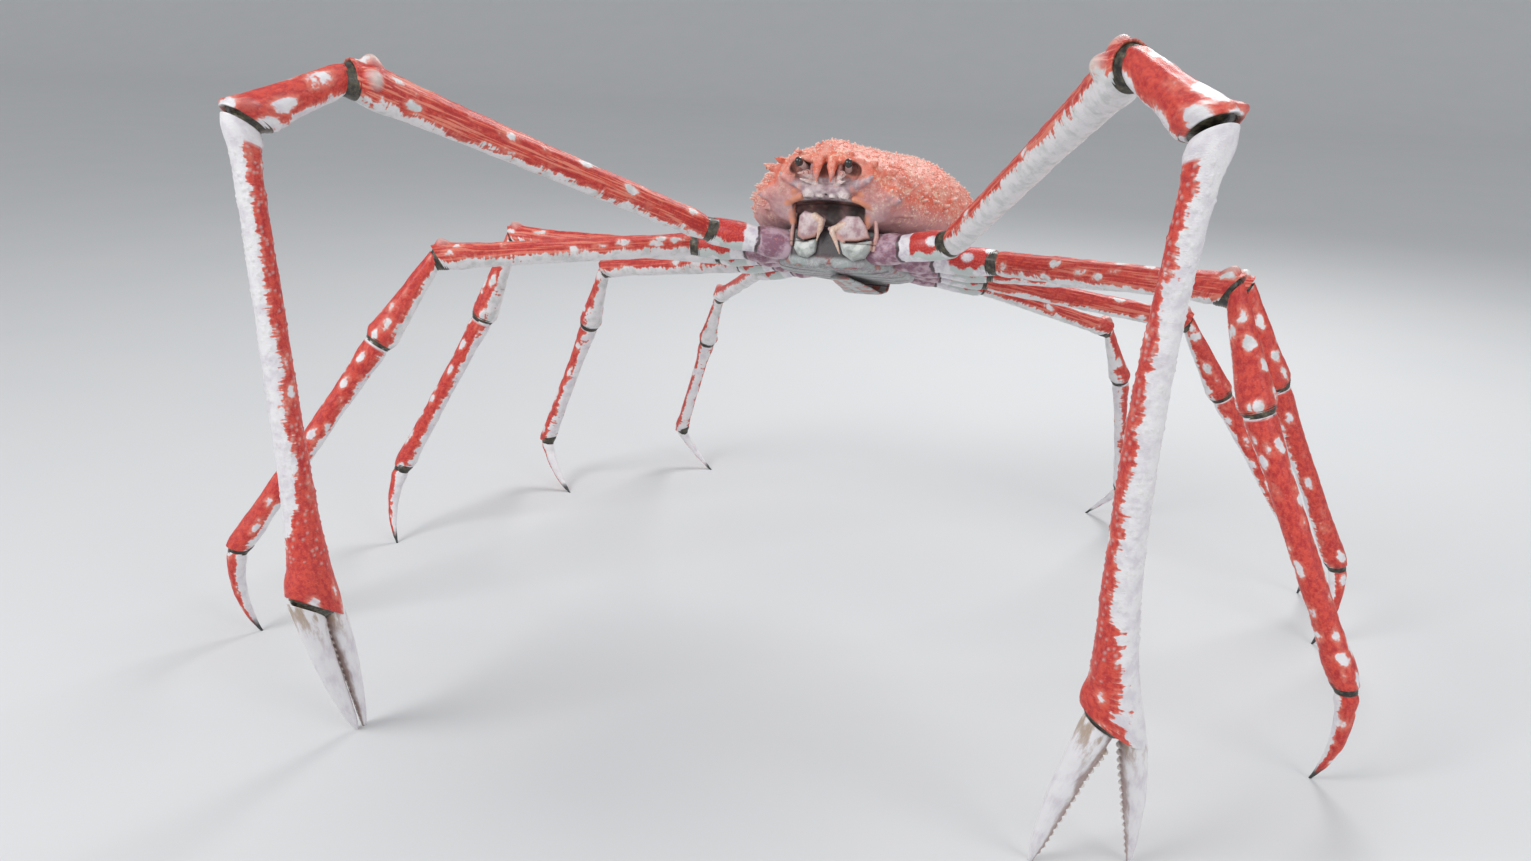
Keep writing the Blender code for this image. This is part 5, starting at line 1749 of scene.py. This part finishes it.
def make_abdomen():
    """The narrow tail plate folded under the body, in overlapping segments."""
    path = np.array(ABDOMEN_PATH, float)
    along = np.concatenate([[0], np.cumsum(np.linalg.norm(np.diff(path, axis=0), axis=1))])
    rows = np.column_stack([along / along[-1], path, ABDOMEN_HALF_WIDTHS])
    places = np.linspace(0, 1, ABDOMEN_RINGS)
    found = read_rows(rows, places)
    middle, half = found[:, :2], found[:, 2]
    ahead = unit(np.gradient(middle, axis=0))
    out = np.stack([ahead[:, 1], -ahead[:, 0]], 1)
    turn = 2 * math.pi * np.arange(ABDOMEN_SIDES) / ABDOMEN_SIDES
    cos = np.sign(np.cos(turn)) * np.abs(np.cos(turn)) ** 0.75
    sin = np.sign(np.sin(turn)) * np.abs(np.sin(turn)) ** 0.6
    phase = places * ABDOMEN_SEGMENTS % 1
    swell = 1 - 0.30 * smooth_step(0.80, 0.98, phase) * smooth_step(1.0, 0.98, phase) - 0.12 * (1 - phase)
    rings = []
    for (y, z), (oy, oz), w, k in zip(middle, out, half, swell):
        keel = 1 + 0.35 * np.exp(-((cos * w / 5.0) ** 2))
        height = ABDOMEN_HALF_HEIGHT * sin * k * np.where(sin > 0, keel, 1) * 0.86
        width = w * cos * (0.965 + 0.035 * k)
        rings.append(np.stack([width, y + oy * height, z + oz * height], 1))
    points = np.concatenate(rings)
    # Painted shade in the crease at the end of each segment
    crease = np.repeat(smooth_step(0.86, 0.98, phase), ABDOMEN_SIDES)
    blotch = (noise(points, 9.0, 8) > 0.1) & (np.tile(np.abs(cos), len(places)) > 0.25)
    attributes = {
        "body": points / 10,
        "dark": 0.75 * crease,
        "pale": 0.7 * (1 - crease) * ~blotch,
        "orange": 0.75 * blotch * (1 - crease),
    }
    faces = grid_faces(ABDOMEN_RINGS, ABDOMEN_SIDES)
    obj = build_mesh("abdomen_plate", to_world(points), faces, attributes, MATERIALS["underside"])
    settle(obj, "underside", "abdomen")


def make_camera():
    camera = bpy.data.objects.new("camera", bpy.data.cameras.new("camera"))
    bpy.context.scene.collection.objects.link(camera)
    camera.data.sensor_width = SENSOR_WIDTH
    camera.data.lens = CAMERA_LENS
    camera.data.clip_start = 0.05
    place = [(CAMERA_PLACE[0] + CENTRE[0]) * MM, (CAMERA_PLACE[1] + CENTRE[1]) * MM, CAMERA_PLACE[2] * MM]
    turn = Matrix.Rotation(math.radians(CAMERA_TURN), 4, "Z")
    pitch = Matrix.Rotation(math.radians(90 + CAMERA_PITCH), 4, "X")
    roll = Matrix.Rotation(math.radians(CAMERA_ROLL), 4, "Z")
    camera.matrix_world = Matrix.Translation(place) @ turn @ pitch @ roll
    bpy.context.scene.camera = camera


def make_floor():
    """A pale sheet that lies flat round the crab and curves up far behind it."""
    rows = [(y, 0.0) for y in (FLOOR_NEAR, -10, 0, SWEEP_START)]
    for i in range(1, SWEEP_STEPS + 1):
        turn = math.pi / 2 * i / SWEEP_STEPS
        rows.append((SWEEP_START + SWEEP_RADIUS * math.sin(turn), SWEEP_RADIUS * (1 - math.cos(turn))))
    rows.append((SWEEP_START + SWEEP_RADIUS, FLOOR_TOP))
    points = [(x, y, z) for y, z in rows for x in (-FLOOR_HALF_WIDTH, FLOOR_HALF_WIDTH)]
    faces = [(2 * i, 2 * i + 1, 2 * i + 3, 2 * i + 2) for i in range(len(rows) - 1)]
    mesh = bpy.data.meshes.new("floor")
    mesh.from_pydata(points, [], faces)
    mesh.shade_smooth()
    obj = bpy.data.objects.new("floor", mesh)
    bpy.context.scene.collection.objects.link(obj)
    n = Nodes("floor_paper", roughness=0.9)
    place = n.add("ShaderNodeTexCoord").outputs["Object"]
    mesh.materials.append(n.finish(n.mix(n.noise(place, 3.0, 2.0), *FLOOR_GREYS)))


def make_light(name, place, target, size, power):
    lamp = bpy.data.lights.new(name, "AREA")
    lamp.shape = "DISK"
    lamp.size = size
    lamp.energy = power
    obj = bpy.data.objects.new(name, lamp)
    bpy.context.scene.collection.objects.link(obj)
    place = Vector(place)
    aim = (Vector(target) - place).to_track_quat("-Z", "Y")
    obj.matrix_world = Matrix.Translation(place) @ aim.to_matrix().to_4x4()


def make_world():
    world = bpy.data.worlds.new("studio")
    world.use_nodes = True
    background = world.node_tree.nodes["Background"]
    background.inputs["Color"].default_value = SKY
    background.inputs["Strength"].default_value = SKY_STRENGTH
    bpy.context.scene.world = world
    bpy.context.scene.view_settings.view_transform = "Standard"


MATERIALS = {
    "base": base_material(),
    "leg_merus": shell_material(
        "merus_shell", (0.3, -1, 0.36), 1.1, 0.37, GREEN_GREY, stripes=0.6, knobs=0.6, cells=0.55,
    ),
    "leg_carpus": shell_material("carpus_shell", (0.3, -1, 0.62), 0.9, 0.42, GREEN_GREY, cells=0.62),
    "leg_propodus": shell_material("propodus_shell", (0.2, -1, 0.7), 0.9, 0.40, ends=0.016, cells=0.62),
    "leg_dactylus": shell_material("dactylus_shell", (0.2, -1, 0.1), 0.9, 0.40, tip=True, cells=0.62),
    "arm_merus_left": shell_material(
        "arm_shell_left", (0, -1, 0.15), 1.3, 0.28, GREEN_GREY, stripes=0.7, knobs=0.8,
    ),
    "arm_merus_right": shell_material(
        "arm_shell_right", (0, -1, 0.72), 1.1, 0.38, GREEN_GREY, stripes=0.8, knobs=0.8, cells=0.5,
    ),
    "arm_carpus": shell_material("wrist_shell", (0, -1, 0.62), 0.9, 0.48, knobs=0.15),
    "palm_left": shell_material(
        "palm_shell_left", (-0.93, -0.37, -0.30), 1.4, 0.24, ends=0.045, red_end=0.75,
    ),
    "palm_right": shell_material("palm_shell_right", (0.78, 0.63, -0.1), 1.4, 0.28, ends=0.045, red_end=1.6),
    "finger": finger_material(),
    "skin": membrane_material(),
    "carapace": carapace_material(),
    "underside": underside_material(),
    "mouthparts": mouthpart_material(),
    "eye": eye_material(),
}

make_camera()
make_floor()
make_world()
for lamp_name, lamp_values in LAMPS.items():
    make_light(lamp_name, *lamp_values)
make_carapace()
make_sternum()
make_abdomen()
for limb_side in ("left", "right"):
    make_eye(limb_side)
    make_antenna(limb_side)
    make_mouthparts(limb_side)
    for limb_number in JOINT_PLACES:
        make_limb(limb_side, limb_number)
